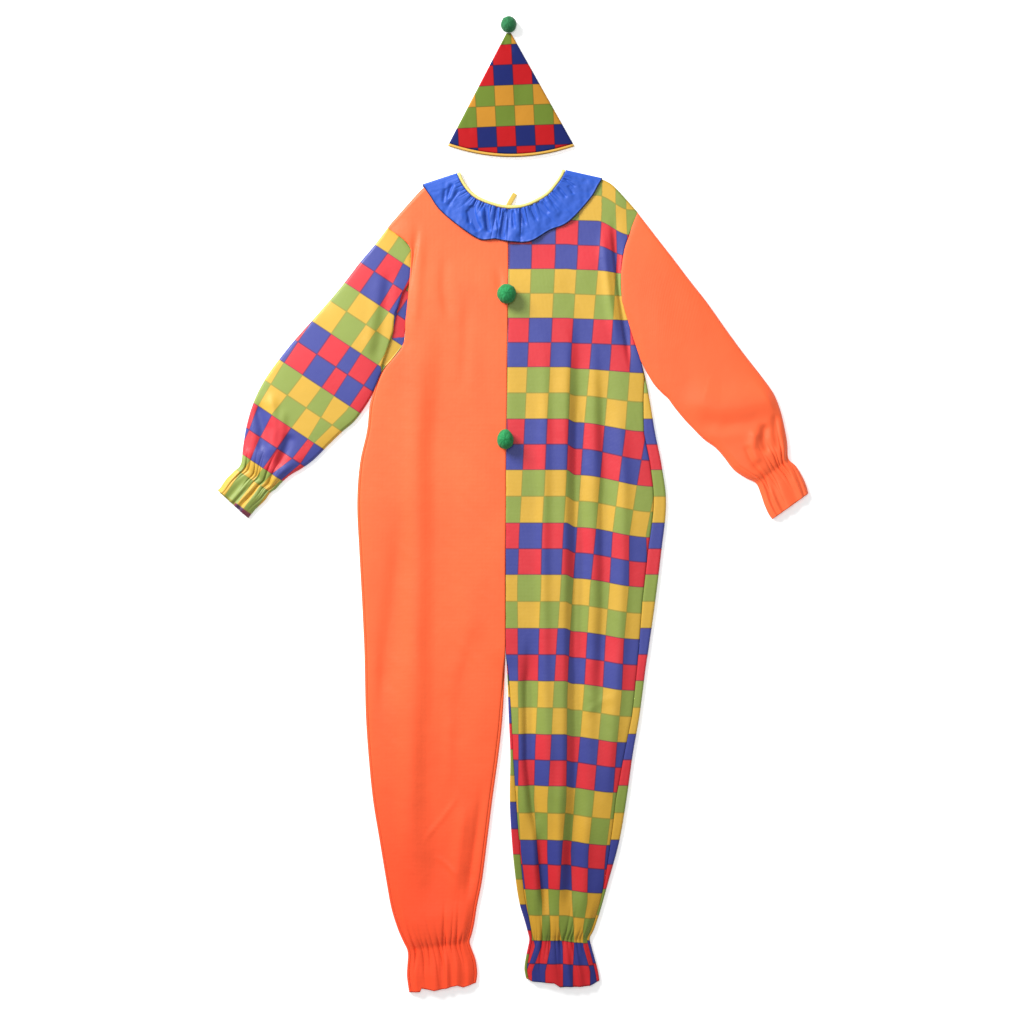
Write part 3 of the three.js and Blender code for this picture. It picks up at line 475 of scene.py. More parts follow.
# height, then the place of the centre seam's column line and the lines after it, mm
COLUMN_LINES = np.array([
    (544, -5, 35, 79.5, 121.6, 164.6, 189.6, 209),
    (461, -5.6, 34.4, 78.3, 119.1, 159.1, 192.4, 212),
    (276, -9.4, 27.6, 69.4, 107.3, 143.4, 180.4, 217.4),
    (133, -9.8, 20.7, 62.2, 102.1, 130.4, 168.4, 207.2),
    (39, -13.5, 16.5, 58.5, 98.6, 124.1, 160.4, 195),
    (-57, -12.2, 10.9, 53.3, 92.7, 117.5, 152.4, 183.5),
    (-155, -12.2, 7.8, 51.4, 88.1, 110.4, 142.3, 178),
    (-255, -12.6, 8.5, 47.5, 80.9, 104.3, 136.3, 170.4),
    (-353, -12.6, 9.2, 45.9, 74.6, 99.9, 130.6, 165.4),
    (-451, -12, 10.2, 40.9, 69.6, 99.5, 122.3, 156.7),
    (-548, -8, 8.9, 38.7, 63.6, 98.4, 113.2, 148.5),
    (-642, -6, 14.4, 45.5, 63.1, 90.3, 106.6, 138.9),
    (-734, 0, 25.2, 53.7, 65.9, 84.7, 109.2, 136.9),
    (-779, 8, 32, 53.7, 68.5, 84.7, 111.9, 129.5),
    (-816, 24, 40.7, 52.7, 69.4, 91.6, 112.9, 129.5),
    (-862, 0, 25.9, 34.6, 59.2, 92.5, 110, 142.5),
])[::-1]
# heights of the row lines, each two rows further down, mm; the first is where row -6 starts
ROW_LINES = np.array([617, 525, 433.8, 343.4, 252.5, 157.3, 62.9, -34.6, -130.4, -229, -326.5,
                      -424.6, -520, -619.8, -711, -806, -890])
FIRST_ROW = -6


def print_row(y):
    counted = FIRST_ROW + 2 * np.arange(len(ROW_LINES))
    return np.interp(-y, -ROW_LINES, counted)


def count_columns(table, height, place):
    lines = np.stack([np.interp(height, table[:, 0], line) for line in table.T[1:]], axis=-1)
    gaps = np.diff(lines, axis=-1)
    column = (place - lines[..., 0]) / gaps[..., 0]
    for k in range(gaps.shape[-1]):
        column = np.where(place >= lines[..., k], k + (place - lines[..., k]) / gaps[..., k], column)
    return column


print("column 100 mm from the centre at the chest:", round(float(count_columns(COLUMN_LINES, 461, 100)), 2))

# %% [markdown]
# ## The checked front
# The rows of the print sink towards the side seam, because the cloth there slopes down from the shoulder
# and the folds take up some of its length. `side_drop` gives that sag, and the rows are counted after it.

# %% Checked front
# height, how far the rows sag there at the side seam, mm
SIDE_SAG = ([-900, -700, -420, -130, 60, 160, 300], [2, 8, 16, 24, 32, 20, 4])
SHOULDER_SAG = 24


def side_drop(x, y, across):
    main = smooth((x - mix(98, 94, smooth(-y / 300))) / 18)
    shoulder = SHOULDER_SAG * smooth((x - 155) / 60) * smooth((y - 400) / 90)
    return np.interp(y, *SIDE_SAG) * (0.3 * main + 0.7 * smooth((across - 0.5) / 0.5)) + shoulder


def front_check_sheet():
    x, y, z, across = front_form(CHECK, CHECK_FOLDS, fine_rows(CHECK), 7, 0.5)
    column = np.maximum(0.01, count_columns(COLUMN_LINES, y, x))
    row = print_row(y + side_drop(x, y, across))
    flat = np.stack([column * SQUARE[0], row * SQUARE[1]], axis=-1) * MM
    return shell("front_check_cloth", np.stack([x, y, z], axis=-1), flat)


front_check = front_check_sheet()

# %% [markdown]
# ## The backs
# Each back panel lies on the floor, turns up round the side in a soft roll, and meets the front at the
# seam. From above only that turned edge shows. It is drawn with the same roll for its whole length, and
# opens flat where the sleeve is sewn on. The hidden side gets shallow creases that rise off the floor.

# %% Back panels
EDGE_POINTS = 17
BACK_COLUMNS = 44
EDGE_REACH = 12  # mm of the panel that belong to its turned edge
SHARE = np.linspace(0, 1, EDGE_POINTS)


def back_edge(wrap, stitch):
    radius = ROLL * np.clip(wrap / 2, 0.02, 1)
    last = np.clip((wrap - 2) / 2, 0, 1) * np.pi / 2
    top = 0.6 * np.clip((wrap - 2) / 2, 0, 1) + np.maximum(0, wrap - 4)
    arc = radius * (last + np.pi / 2)
    done = SHARE * (top + arc + EDGE_REACH - radius)
    angle = last - np.clip(done - top, 0, arc) / radius
    inward = radius - radius * np.cos(angle) + np.maximum(0, top - done) + np.maximum(0, done - top - arc)
    inward = inward + SEAM_SHOWN / 2 * np.clip(1 - wrap / 2, 0, 1)
    height = radius + radius * np.sin(angle)
    sunk = stitch * np.exp(-(done / STITCH_WIDTH) ** 2) * np.clip(wrap / 4, 0, 1)
    return inward, np.maximum(0, height - sunk), done


def back_form(table, rows, seed, stitch):
    section = at(table, rows)
    wraps = [np.maximum(0, straight(table[:, k], rows)) for k in (5, 6)]
    length = np.linalg.norm(section[:, 2:4] - section[:, 0:2], axis=1)
    leg, side = ([back_edge(w, stitch) for w in wrap] for wrap in wraps)
    across = np.linspace(0, 1, BACK_COLUMNS + 1)[1:-1]
    along, height, cloth = [], [], []
    for i, whole in enumerate(length):
        middle = mix(EDGE_REACH, whole - EDGE_REACH, across)
        from_leg = leg[i][2] - leg[i][2][-1] + EDGE_REACH
        to_side = whole - EDGE_REACH + side[i][2][-1] - side[i][2][::-1]
        along.append(np.concatenate([leg[i][0], middle, whole - side[i][0][::-1]]))
        height.append(np.concatenate([leg[i][1], 0 * middle, side[i][1][::-1]]))
        cloth.append(np.concatenate([from_leg, middle, to_side]))
    along, height, cloth = np.array(along), np.array(height), np.array(cloth)
    spot = lay_out(section, along)
    x, y = spot[..., 0], spot[..., 1]
    creases = np.maximum(0, cloth_noise(x, y, 34, 150, seed)) ** 2 * 2.2
    share = along / length[:, None]
    inner = smooth((share - 0.12) / 0.15) * smooth((0.88 - share) / 0.15)
    height = height + creases * inner + NECK_LIFT * under_collar(x, y)
    above = y - mix(table[ANKLE_ROW, 1], table[ANKLE_ROW, 3], share)
    return x, y + uneven_hem(x, above), height, cloth, length


def back_orange_sheet():
    x, y, z, cloth, _ = back_form(ORANGE, fine_rows(ORANGE), 11, 0.06)
    flat = np.stack([-cloth, y], axis=-1) * MM
    return shell("back_orange_cloth", np.stack([x, y, z], axis=-1), flat, facing="out")


back_orange = back_orange_sheet()


def back_check_sheet():
    x, y, z, cloth, length = back_form(CHECK, fine_rows(CHECK), 13, 0.7)
    from_side = length[:, None] - cloth
    edge_line = np.interp(y, [-700, -60, 130, 300], [0, 0, 7, 14])
    near_leg = smooth((0.7 - cloth / length[:, None]) / 0.5) * smooth((-y - 280) / 60)
    column = mix(11 + (edge_line - from_side) / SQUARE[0], 6.02 + cloth / SQUARE[0], near_leg)
    row = print_row(y) + 1.4 * smooth((-y - 300) / 60) * smooth((90 - cloth) / 40)
    flat = np.stack([column, row], axis=-1) * SQUARE * MM
    return shell("back_check_cloth", np.stack([x, y, z], axis=-1), flat, facing="out")


back_check = back_check_sheet()

# %% [markdown]
# ## The sleeves
# A sleeve is a tube laid flat. Rings of points run over the top, round the upper edge, back along the
# floor and round the lower edge. Elastic gathers it at the wrist, and the folds fan out from there.

# %% Sleeve tables, mm: upper edge x, y, lower edge x, y, fill
CHECK_SLEEVE = np.array([
    (-256, 478, -223, 266.5, 0.5), (-283, 446, -242, 244, 0.8), (-309, 412, -253, 218, 1),
    (-336, 379, -267.5, 188.5, 1), (-372, 338, -292, 154, 1), (-405, 301, -315, 134, 1),
    (-433, 266, -341, 109, 1), (-459, 229, -368, 82, 1), (-479, 189, -390, 66, 0.9),
    (-492, 146, -412, 53, 0.7), (-499, 105, -428, 39, 0.4), (-503, 74, -438, 28, 0),
    (-516, 60, -448, 21, 0), (-530, 46, -459, 6, 0.1), (-541, 30, -476, -10, 0.1),
    (-546, 26, -489, -26, 0.1),
], dtype=float)
ORANGE_SLEEVE = np.array([
    (262, 497, 257, 226, 0.6), (294, 456, 272, 208, 0.9), (325, 415, 287, 194, 1),
    (358, 373, 297, 180, 1), (394, 322, 315, 158, 1), (424, 281, 332, 140, 1),
    (456, 240, 352, 120, 1), (481, 205, 374, 104, 1), (494, 173, 390, 86, 0.9),
    (502, 140, 408, 63, 0.7), (507, 111, 430, 48, 0.4), (509, 84, 449, 38, 0),
    (523, 70, 458, 18, 0), (535, 50, 464, 0, 0.1), (542, 34, 472, -18, 0.1),
    (546, 20, 479, -28, 0.1),
], dtype=float)
CHECK_SLEEVE_FOLDS = [
    (-2.5, 12, 12, [(-226, 440), (-236, 380), (-246, 310), (-256, 250)]),
    (2, 13, 13, [(-240, 430), (-252, 350), (-268, 270)]),
    (-4, 9, 9, [(-474, 190), (-462, 140), (-466, 90)]),
    (4, 10, 10, [(-448, 210), (-438, 140), (-446, 80)]),
    (-4, 9, 9, [(-410, 130), (-420, 100), (-438, 60)]),
    (-3.5, 7, 7, [(-494, 190), (-490, 130), (-494, 90)]),
    (2.5, 8, 8, [(-424, 180), (-424, 120), (-444, 70)]),
]
ORANGE_SLEEVE_FOLDS = [
    (6, 34, 24, [(306, 204), (346, 186), (383, 178), (429, 185), (476, 194), (510, 204)], 0.25),
    (-1.5, 12, 18, [(336, 160), (383, 144), (429, 148), (472, 159)], 0.25),
    (1.5, 14, 14, [(350, 136), (392, 127), (438, 134), (470, 150)], 0.25),
    (-4, 8, 8, [(466, 150), (462, 120), (470, 90)]),
    (4, 9, 9, [(448, 140), (440, 100), (452, 70)]),
    (-3, 7, 7, [(484, 170), (484, 130), (490, 96)]),
    (-3, 7, 7, [(430, 110), (440, 84), (456, 56)]),
]
print("sleeve seen length:", round(float(np.hypot(*(CHECK_SLEEVE[0, :2] - CHECK_SLEEVE[-1, :2]))), 0), "mm")

# %% [markdown]
# ## Sleeve tubes
# The armhole seam is a curve, so the first rings of a sleeve follow it and the next few straighten out.
# A thin strip of each sleeve is tucked under the edge of the front, as a seam allowance is, so that
# nothing shows between the two.

# %% Sleeve tubes
WRIST_ROW = 11
WRIST_REACH = 45  # mm above and below the elastic where it holds the cloth down
WRIST_PUCKERS = 10
HANG = 4  # rows over which the curve of the armhole fades out
PUFF = 6  # mm that the air inside lifts the middle
TUCKED = 1.2  # mm of sleeve that lies under the edge of the front
SUNK = 4.4  # mm that the strip past the edge of the front lies lower
TOP_COLUMNS = 96
UNDER_COLUMNS = 30
ARC = np.linspace(np.pi / 2, -np.pi / 2, 9)[1:-1]


def armhole(body, across):
    seam = body[ARMPIT_ROW:, 2:4]
    lengths = np.concatenate([[0], np.cumsum(np.linalg.norm(np.diff(seam, axis=0), axis=1))])
    place = np.clip(across, 0, 1) * lengths[-1]
    return np.stack([np.interp(place, lengths, seam[:, k]) for k in (0, 1)], axis=-1)


def tube_across(length, roll):
    turn = np.minimum(roll, length / 4)
    top = np.linspace(0, 1, TOP_COLUMNS + 1)
    under = np.linspace(0, 1, UNDER_COLUMNS + 1)
    arc_in, arc_up = turn - turn * np.cos(ARC), turn + turn * np.sin(ARC)
    along = np.concatenate([mix(turn, length - turn, top), length - arc_in,
                            mix(length - turn, turn, under), arc_in[::-1]])
    height = np.concatenate([np.full(top.shape, np.nan), arc_up, 0 * under, arc_up[::-1]])
    cloth = np.concatenate([[0], np.cumsum(np.abs(np.diff(along, append=along[0])))])
    return along, height, cloth


def tubes(lengths, roll):
    parts = [tube_across(length, roll) for length in lengths]
    return (np.array([part[k] for part in parts]) for k in range(3))


def sleeve_form(table, folds, body, way, seed, beyond=None):
    low, high = armhole(body, np.array([0.0, 1.0]))
    first = np.concatenate([high, low, [0]])
    first[[0, 2]] -= way * TUCKED
    whole = np.vstack([first, table])
    rows = fine_rows(np.concatenate([np.zeros((len(whole), 2)), whole[:, :2]], axis=1), 4)
    section = at(whole, rows)
    upper, lower = section[:, 0:2], section[:, 2:4]
    fill = np.clip(straight(np.concatenate([[0], table[:, 4]]), rows), 0, 1)
    length = np.linalg.norm(upper - lower, axis=1)
    along, given, cloth = tubes(length, ROLL)
    across = along / length[:, None]
    bend = armhole(body, across) - mix(low, high, across[..., None])
    spot = mix(lower[:, None], upper[:, None], across[..., None])
    spot = spot + bend * (1 - smooth(rows / HANG))[:, None, None]
    x, y = spot[..., 0], spot[..., 1]
    wrist_low, wrist_high = table[WRIST_ROW, 2:4], table[WRIST_ROW, 0:2]
    line = (wrist_high - wrist_low) / np.linalg.norm(wrist_high - wrist_low)
    above = (x - wrist_low[0]) * -line[1] * way + (y - wrist_low[1]) * line[0] * way
    edge = smooth(across * 8) * smooth((1 - across) * 8)
    free = mix(0.1, 1, smooth(np.abs(above) / WRIST_REACH)) * smooth(rows / 1.5)[:, None]
    dome = PUFF * fill[:, None] * np.sqrt(np.maximum(0, np.sin(np.pi * np.clip(across, 0, 1))))
    soft = 0.5 * cloth_noise(x + 0.6 * y, y - 0.6 * x, 40, 90, seed)
    relief = free * (folds_at(folds, x, y) + soft)
    relief = relief + gathers(WRIST_PUCKERS, across, above, seed, puff=24, base=4.2)
    top = np.maximum(SIDE_TOP * np.minimum(1, length / 14)[:, None], SIDE_TOP + dome + edge * relief)
    inner = smooth(across * 6 - 0.5) * smooth((1 - across) * 6 - 0.5)
    creases = 1.6 * np.maximum(0, cloth_noise(x, y, 40, 40, seed + 5)) ** 2 * inner
    height = np.where(np.isnan(given), top, given + np.where(given == 0, creases, 0))
    seam_dip = 0.9 * np.exp(-(rows / 0.12) ** 2)[:, None]
    if beyond:
        seam_dip = np.maximum(seam_dip, SUNK * beyond(x, y))
    return x, y, height - seam_dip * np.isnan(given), cloth, above


def sleeve_orange_sheet():
    x, y, z, cloth, above = sleeve_form(ORANGE_SLEEVE, ORANGE_SLEEVE_FOLDS, CHECK, 1, 5)
    flat = np.stack([cloth, np.repeat(above[:, :1], cloth.shape[1], axis=1)], axis=-1) * MM
    return shell("sleeve_orange_cloth", np.stack([x, y, z], axis=-1), flat, ring=True, facing="out")


sleeve_orange = sleeve_orange_sheet()

# %% [markdown]
# ## The print on the sleeve
# The sleeve is cut along its own length, so its print is counted along and across that direction.
# Under the armhole the cloth lies folded in below the front, and the print past that line is moved by
# about a square, because the fold hides a strip of it.

# %% Checked sleeve, with the print laid along it
GRAIN = np.array([(0.833, -0.553), (-0.553, -0.833)])  # directions across and down the sleeve
# place down the sleeve, then the column lines across it, mm
SLEEVE_COLUMNS = np.array([
    (-270, -537, -496, -448, -416, -394, -357, -307), (-215, -537, -496, -450, -409, -387, -350, -307),
    (-169, -537, -496, -451, -407, -387, -350, -307), (-76, -537, -496, -453, -410, -387, -350, -307),
    (26, -537, -496, -455, -413, -385, -351, -307), (109, -529, -492, -461, -418, -381, -368, -326),
    (155, -520, -481, -457, -418, -385, -368, -335), (200, -518, -475, -448, -420, -401, -381, -353),
    (233, -522, -479, -451, -422, -407, -389, -363), (285, -526, -481, -451, -424, -409, -391, -365),
])
SLEEVE_ROWS = np.array([-350, -304, -258, -216, -168.5, -126, -76, -30, 16.5, 63, 109, 155, 200, 229, 281])
SLEEVE_FIRST = -6
# edge of the front over the sleeve; the cloth past it is folded in
TUCK_LINE = np.array([(-244, 255), (-232, 289), (-223, 318), (-218, 353), (-213, 364), (-205, 390),
                      (-197, 401), (-189, 420)])


def beyond_tuck(x, y):
    return smooth((x - np.interp(y, TUCK_LINE[:, 1], TUCK_LINE[:, 0])) / 3) * smooth((418 - y) / 20)


def sleeve_check_sheet():
    x, y, z, _, _ = sleeve_form(CHECK_SLEEVE, CHECK_SLEEVE_FOLDS, ORANGE, -1, 9, beyond_tuck)
    over, down = (x * way[0] + y * way[1] for way in GRAIN)
    hidden = beyond_tuck(x, y)
    column = count_columns(SLEEVE_COLUMNS, down, over) + (0.6 + smooth((308 - y) / 3)) * hidden
    row = np.interp(down, SLEEVE_ROWS, SLEEVE_FIRST + np.arange(len(SLEEVE_ROWS))) - 0.9 * hidden
    flat = np.stack([column, row], axis=-1) * SQUARE * MM
    flat = np.concatenate([flat, flat[:, :1]], axis=1)
    return shell("sleeve_check_cloth", np.stack([x, y, z], axis=-1), flat, ring=True, facing="out")


sleeve_check = sleeve_check_sheet()

# %% [markdown]
# ## The ruffle, its binding and the neck tape
# The ruffle is a long strip gathered onto the neck edge. Close gathers at the binding open into wider
# flutes, and the free edge has a thin rolled hem. It turns over both shoulders and goes on under the back.

# %% Neck band form
COLLAR = np.array([
    (-96, 609, -166, 586), (-91, 597, -154, 569), (-79, 580, -136, 543), (-64, 568, -100, 512),
    (-43, 559, -62, 488), (-22, 553, -32, 488), (-2, 551, -3, 483), (20, 554, 33, 484),
    (40, 562, 67, 504), (61, 575, 103, 520), (77, 593, 143, 563), (86, 606, 158, 588),
    (90, 614, 164, 597.5),
], dtype=float)
BINDING_WIDTH = 6
BINDING_GAP = 0.5  # mm between the binding and the first row of the ruffle
COLLAR_TOP = NECK_TOP + 2
COLLAR_FOLDS = [
    (-3, 2, 5, [(-110, 592), (-116, 578), (-122, 560)], 0.2),
    (-3, 2, 4, [(-124, 583), (-126, 570), (-128, 554)], 0.2),
    (-2, 2, 4, [(-98, 580), (-108, 566), (-122, 545)], 0.2),
    (2, 5, 5, [(-104, 592), (-110, 576), (-114, 556)], 0.2),
    (-8, 3, 8, [(-74, 552), (-73, 538), (-68, 520), (-60, 505)], 0.15),
    (-4, 2, 4, [(-84, 545), (-80, 530), (-80, 515)], 0.2),
    (3, 6, 6, [(-62, 548), (-58, 525), (-52, 500)], 0.2),
    (-6, 2.5, 5, [(-49, 558), (-48, 540), (-46, 518), (-42, 500)], 0.15),
    (-3.5, 2, 3, [(-30, 553), (-29, 530), (-27, 508)], 0.2),
    (3, 6, 6, [(-22, 550), (-24, 525), (-30, 496)], 0.2),
    (-6, 2, 5, [(-14, 550), (-15, 528), (-19, 500), (-16, 488)], 0.15),
    (-4, 2, 4, [(-1, 548), (1, 528), (3, 506)], 0.2),
    (3, 7, 7, [(7, 546), (10, 520), (14, 492)], 0.2),
    (-4, 2, 4, [(15, 552), (19, 534), (24, 512)], 0.2),
    (-3.5, 2, 4, [(32, 557), (38, 540), (46, 520)], 0.2),
    (-3, 2, 4, [(50, 566), (58, 550), (68, 536)], 0.2),
    (2.5, 7, 7, [(58, 566), (72, 548), (88, 530)], 0.2),
    (-3, 2, 4, [(80, 589), (90, 576), (100, 564)], 0.2),
    (-2.5, 2, 3, [(91, 603), (103, 594), (116, 584)], 0.2),
    (-2, 2, 3, [(100, 588), (108, 580), (112, 570)], 0.2),
]


print("ruffle from neck to free edge:", round(float(np.hypot(*(COLLAR[6, :2] - COLLAR[6, 2:]))), 1), "mm")

# %% [markdown]
# ## A band round the neck
# The ruffle and its binding are both bands: over the front, round one shoulder, back along the floor
# and round the other. `outs` gives distances out from the neck opening, and `lift` the wave on top.

# %% Neck band helpers
SHOULDER_STEPS = 11
RING_CLOSES = 10  # mm of strip between the last point of the ring and its first


def neck_spot(u, out):
    line = at(COLLAR, u * (len(COLLAR) - 1))
    inner, outer = line[:, 0:2], line[:, 2:4]
    width = np.linalg.norm(outer - inner, axis=1)
    return inner[:, None] + (outer - inner)[:, None] * (out / width[:, None])[..., None], width


def neck_band(outs, lift, front, back):
    u_top = np.linspace(0, 1, front + 1)
    u_under = np.linspace(1, 0, back + 1)
    angles = np.radians(np.linspace(75, -75, SHOULDER_STEPS))
    radius = COLLAR_TOP / 2
    u = np.concatenate([u_top, np.ones(SHOULDER_STEPS), u_under, np.zeros(SHOULDER_STEPS)])
    start, width = neck_spot(u, np.zeros((len(u), 1)))
    out = outs(width)
    spot, _ = neck_spot(u, out)
    along = neck_spot(u, np.ones((len(u), 1)))[0] - start
    away = np.stack([-along[..., 1], along[..., 0]], axis=-1)
    aside = np.concatenate([0 * u_top, radius * np.cos(angles), 0 * u_under, -radius * np.cos(angles)])
    spot = spot + away * aside[:, None, None]
    base = np.concatenate([COLLAR_TOP + 0 * u_top, radius + radius * np.sin(angles),
                           0 * u_under, radius - radius * np.sin(angles)])
    f = np.linspace(0, 1, out.shape[1])[None, :]
    x, y = spot[..., 0], spot[..., 1]
    on_top = np.concatenate([1 + 0 * u_top, 0 * angles, 0 * u_under, 0 * angles])[:, None]
    height = base[:, None] + on_top * lift(u[:, None], f, x, y)
    points = np.stack([x, y, height], axis=-1).transpose(1, 0, 2)
    run = np.cumsum(np.linalg.norm(np.diff(points[-1], axis=0), axis=1))
    run = np.concatenate([[0], run, [run[-1] + RING_CLOSES]])
    return points, np.stack(np.broadcast_arrays(run[None, :], f.T), axis=-1)


print("each shoulder turns in", SHOULDER_STEPS, "steps")

# %% [markdown]
# ## The satin ruffle
# A gathered strip is fullest at its free edge and tight at the seam. Long pleats run most of the way
# out, short ones only start the gathers, and the placed folds above give the ones that catch the eye.

# %% Satin ruffle
RUFFLE_COLUMNS = (520, 90)  # over the front, under the back
RUFFLE_ROWS = 36
RUFFLE_WIDTH = 0.07  # metres of strip from the seam to the hem
RUFFLE_DIP = -1.6  # mm; the deepest that a pleat sinks below the ruffle's own level


def ruffle_wave(u, f, x, y):
    ends = smooth(u * 14) * smooth((1 - u) * 14)
    wide = 0.5 + 0.5 * np.cos(2 * np.pi * (8 * u + 0.2 * np.sin(2 * np.pi * 2.1 * u)))
    middle = smooth((u - 0.12) / 0.16) * smooth((0.86 - u) / 0.16)
    wave = 3.4 * np.exp(-f / 0.6) + 3 * smooth(f) * wide * mix(0.2, 1, middle)
    long_pleats = puckers(u, 0.02 + 60 * f, 17, 77, depth=7, up=28) * mix(0.1, 1, middle)
    short_pleats = puckers(u, 0.02 + 60 * f, 40, 78, depth=3.4, up=11) * mix(0.5, 1, middle)
    crumple = 0.9 * cloth_noise(x + 0.5 * y, y - x, 10, 16, 41) + 0.3 * cloth_noise(x, y, 5, 5, 43)
    hem = 0.9 * np.exp(-(((f - 0.975) / 0.02) ** 2))
    creases = folds_at(COLLAR_FOLDS, x, y) * smooth(f * 8)
    relief = wave + long_pleats + short_pleats + crumple * smooth(3 * f) + creases
    return np.maximum(RUFFLE_DIP, ends * relief) + hem


def collar_sheet():
    def outs(width):
        f = np.linspace(0, 1, RUFFLE_ROWS) ** 0.9
        return mix(BINDING_WIDTH + BINDING_GAP, width[:, None], f[None, :])
    points, flat = neck_band(outs, ruffle_wave, *RUFFLE_COLUMNS)
    flat = flat * np.array([MM, RUFFLE_WIDTH])
    return shell("collar_satin", points, flat, ring=True, facing="out", thick=THIN_CLOTH)


collar = collar_sheet()

# %% [markdown]
# ## Binding and tape
# The binding is a tape folded over the neck edge, so it is a rounded bead, puckered very slightly by
# its stitches. The short tape in the neck opening is a plain flat end.

# %% Binding
BINDING_COLUMNS = (300, 60)  # over the front, under the back
BINDING_FLAT = 0.008  # metres of tape from one stitched edge to the other
BEAD = 1.6  # mm that the folded tape stands up


def binding_sheet():
    def bead(u, f, x, y):
        pucker = 0.08 * np.cos(2 * np.pi * 48 * u)
        return BEAD * np.sqrt(np.clip(1 - (2 * f - 1) ** 2, 0, 1)) + pucker * np.sin(np.pi * f)

    def outs(width):
        return np.linspace(0, BINDING_WIDTH, 9)[None, :] + 0 * width[:, None]
    points, flat = neck_band(outs, bead, *BINDING_COLUMNS)
    flat = flat * np.array([MM, BINDING_FLAT])
    return shell("neck_binding_tape", points, flat, ring=True, facing="out", thick=THIN_CLOTH)


binding = binding_sheet()

# %% Neck tape
TAPE = np.array([(-14, 536, 5.35), (-10, 548, 5.35), (-4, 560, 4.9), (0, 567, 3.4), (4, 574, 1.2)],
                dtype=float)
TAPE_HALF = 4.5
TAPE_LENGTH = 44


def tape_sheet():
    line = at(TAPE, np.linspace(0, 4, 33))
    across = np.linspace(-1, 1, 9)
    side = np.array([0.87, -0.5, 0]) * TAPE_HALF
    points = line[:, None] + across[None, :, None] * side
    points[..., 2] += 0.25 * (1 - across**4)[None, :] - 0.25
    down = np.linspace(0, TAPE_LENGTH, 33)[:, None]
    flat = np.stack(np.broadcast_arrays(across[None, :] * TAPE_HALF, down), axis=-1) * MM
    return shell("neck_tape_end", points, flat)


tape = tape_sheet()

# %% [markdown]
# ## The hat
# The hat is a cone of the same print, laid flat, so it is a triangle with a soft roll down each side and
# a hem that sags in the middle. A yellow tape binds the hem.

# %% Hat cone and hem binding
HAT_TIP = (np.array([-12.5, 870]), np.array([-3.5, 870]))
HAT_HEM = (np.array([-120.5, 662.5]), np.array([113.5, 661.5]))
HAT_BOW = -20.5  # mm that the middle of the hem sags
HAT_ROLL = 2.2
HAT_DOME = 5
BINDING_FROM = 0.982  # share of the way down where the tape starts
HAT_SQUARE = (35.52, 37.925)  # mm; the hat's print is a little smaller than the suit's
HAT_FOLDS = [
    (-1.4, 5, 9, [(-92, 730), (-84, 705), (-78, 680)], 0.3),
    (-1.6, 4, 6, [(-22, 858), (-12, 846), (4, 838)], 0.3),
    (-0.8, 14, 14, [(20, 800), (10, 740), (0, 690)], 0.3),
]


def hat_form(start, stop, count, proud, seed):
    downs = np.linspace(start, stop, count + 1)
    lower = mix(HAT_TIP[0], HAT_HEM[0], downs[:, None])
    upper = mix(HAT_TIP[1], HAT_HEM[1], downs[:, None])
    length = np.linalg.norm(upper - lower, axis=1)
    along, given, cloth = tubes(length, HAT_ROLL)
    across = along / length[:, None]
    x = mix(lower[:, :1], upper[:, :1], across)
    y = mix(lower[:, 1:], upper[:, 1:], across) + HAT_BOW * downs[:, None] * 4 * across * (1 - across)
    swell = np.sqrt(np.maximum(0, np.sin(np.pi * np.clip(across, 0, 1))))
    soft = 0.35 * cloth_noise(x, y, 36, 46, seed) + folds_at(HAT_FOLDS, x, y)
    edge = smooth(across * 6) * smooth((1 - across) * 6)
    side_top = 2 * HAT_ROLL * np.minimum(1, length / 9)[:, None]
    top = side_top + proud + HAT_DOME * downs[:, None] * swell + edge * soft
    return x, y, np.where(np.isnan(given), top, given), cloth


def hat_sheet():
    x, y, z, _ = hat_form(0, BINDING_FROM - 0.003, 70, 0, 21)
    column = (x + 0.05 * y - 3.7555) / HAT_SQUARE[0]
    row = (698.0154 - y + 0.042 * x) / HAT_SQUARE[1]
    flat = np.stack([column, row], axis=-1) * SQUARE * MM
    flat = np.concatenate([flat, flat[:, :1]], axis=1)
    return shell("hat_cloth", np.stack([x, y, z], axis=-1), flat, ring=True, facing="out")


def hat_binding_sheet():
    x, y, z, cloth = hat_form(BINDING_FROM, 1, 6, 0.6, 21)
    f = np.linspace(0, 1, 7)[:, None]
    z = z + 0.5 * np.sin(np.pi * f) * (z > 4)
    flat = np.stack(np.broadcast_arrays(cloth, 7 * f), axis=-1) * MM
    points = np.stack([x, y, z], axis=-1)
    return shell("hat_binding_tape", points, flat, ring=True, facing="out", thick=THIN_CLOTH)


hat = hat_sheet()
hat_binding = hat_binding_sheet()

# %% [markdown]
# ## Felt balls
# The buttons and the hat's ball are soft balls covered in green felt. A plain sphere would look like
# plastic, so each is a fine round mesh, pressed flat where it is sewn on, with its radius made uneven.

# %% Balls
# centre x, y, height of the seat, width, depth, height, how far it narrows upwards, mm
BALLS = {
    "button_upper": (-11.8, 386.4, 11.3, 36, 37, 30, 0),
    "button_lower": (-14, 119, 11.3, 32, 38, 30, 0.16),
    "hat_pompom": (-8, 884.5, 0, 30, 31, 26, 0),
}
SEAT_SHARE = 0.16  # share of the height that the seat presses flat
RINGS = 40
SIDES = 64


def ball_faces(top):
    around = [(j, (j + 1) % SIDES) for j in range(SIDES)]
    faces = [(i * SIDES + j, (i + 1) * SIDES + j, (i + 1) * SIDES + k, i * SIDES + k)
             for i in range(RINGS - 2) for j, k in around]
    last = (RINGS - 2) * SIDES
    return faces + [(top, j, k) for j, k in around] + [(last + k, last + j, top + 1) for j, k in around]


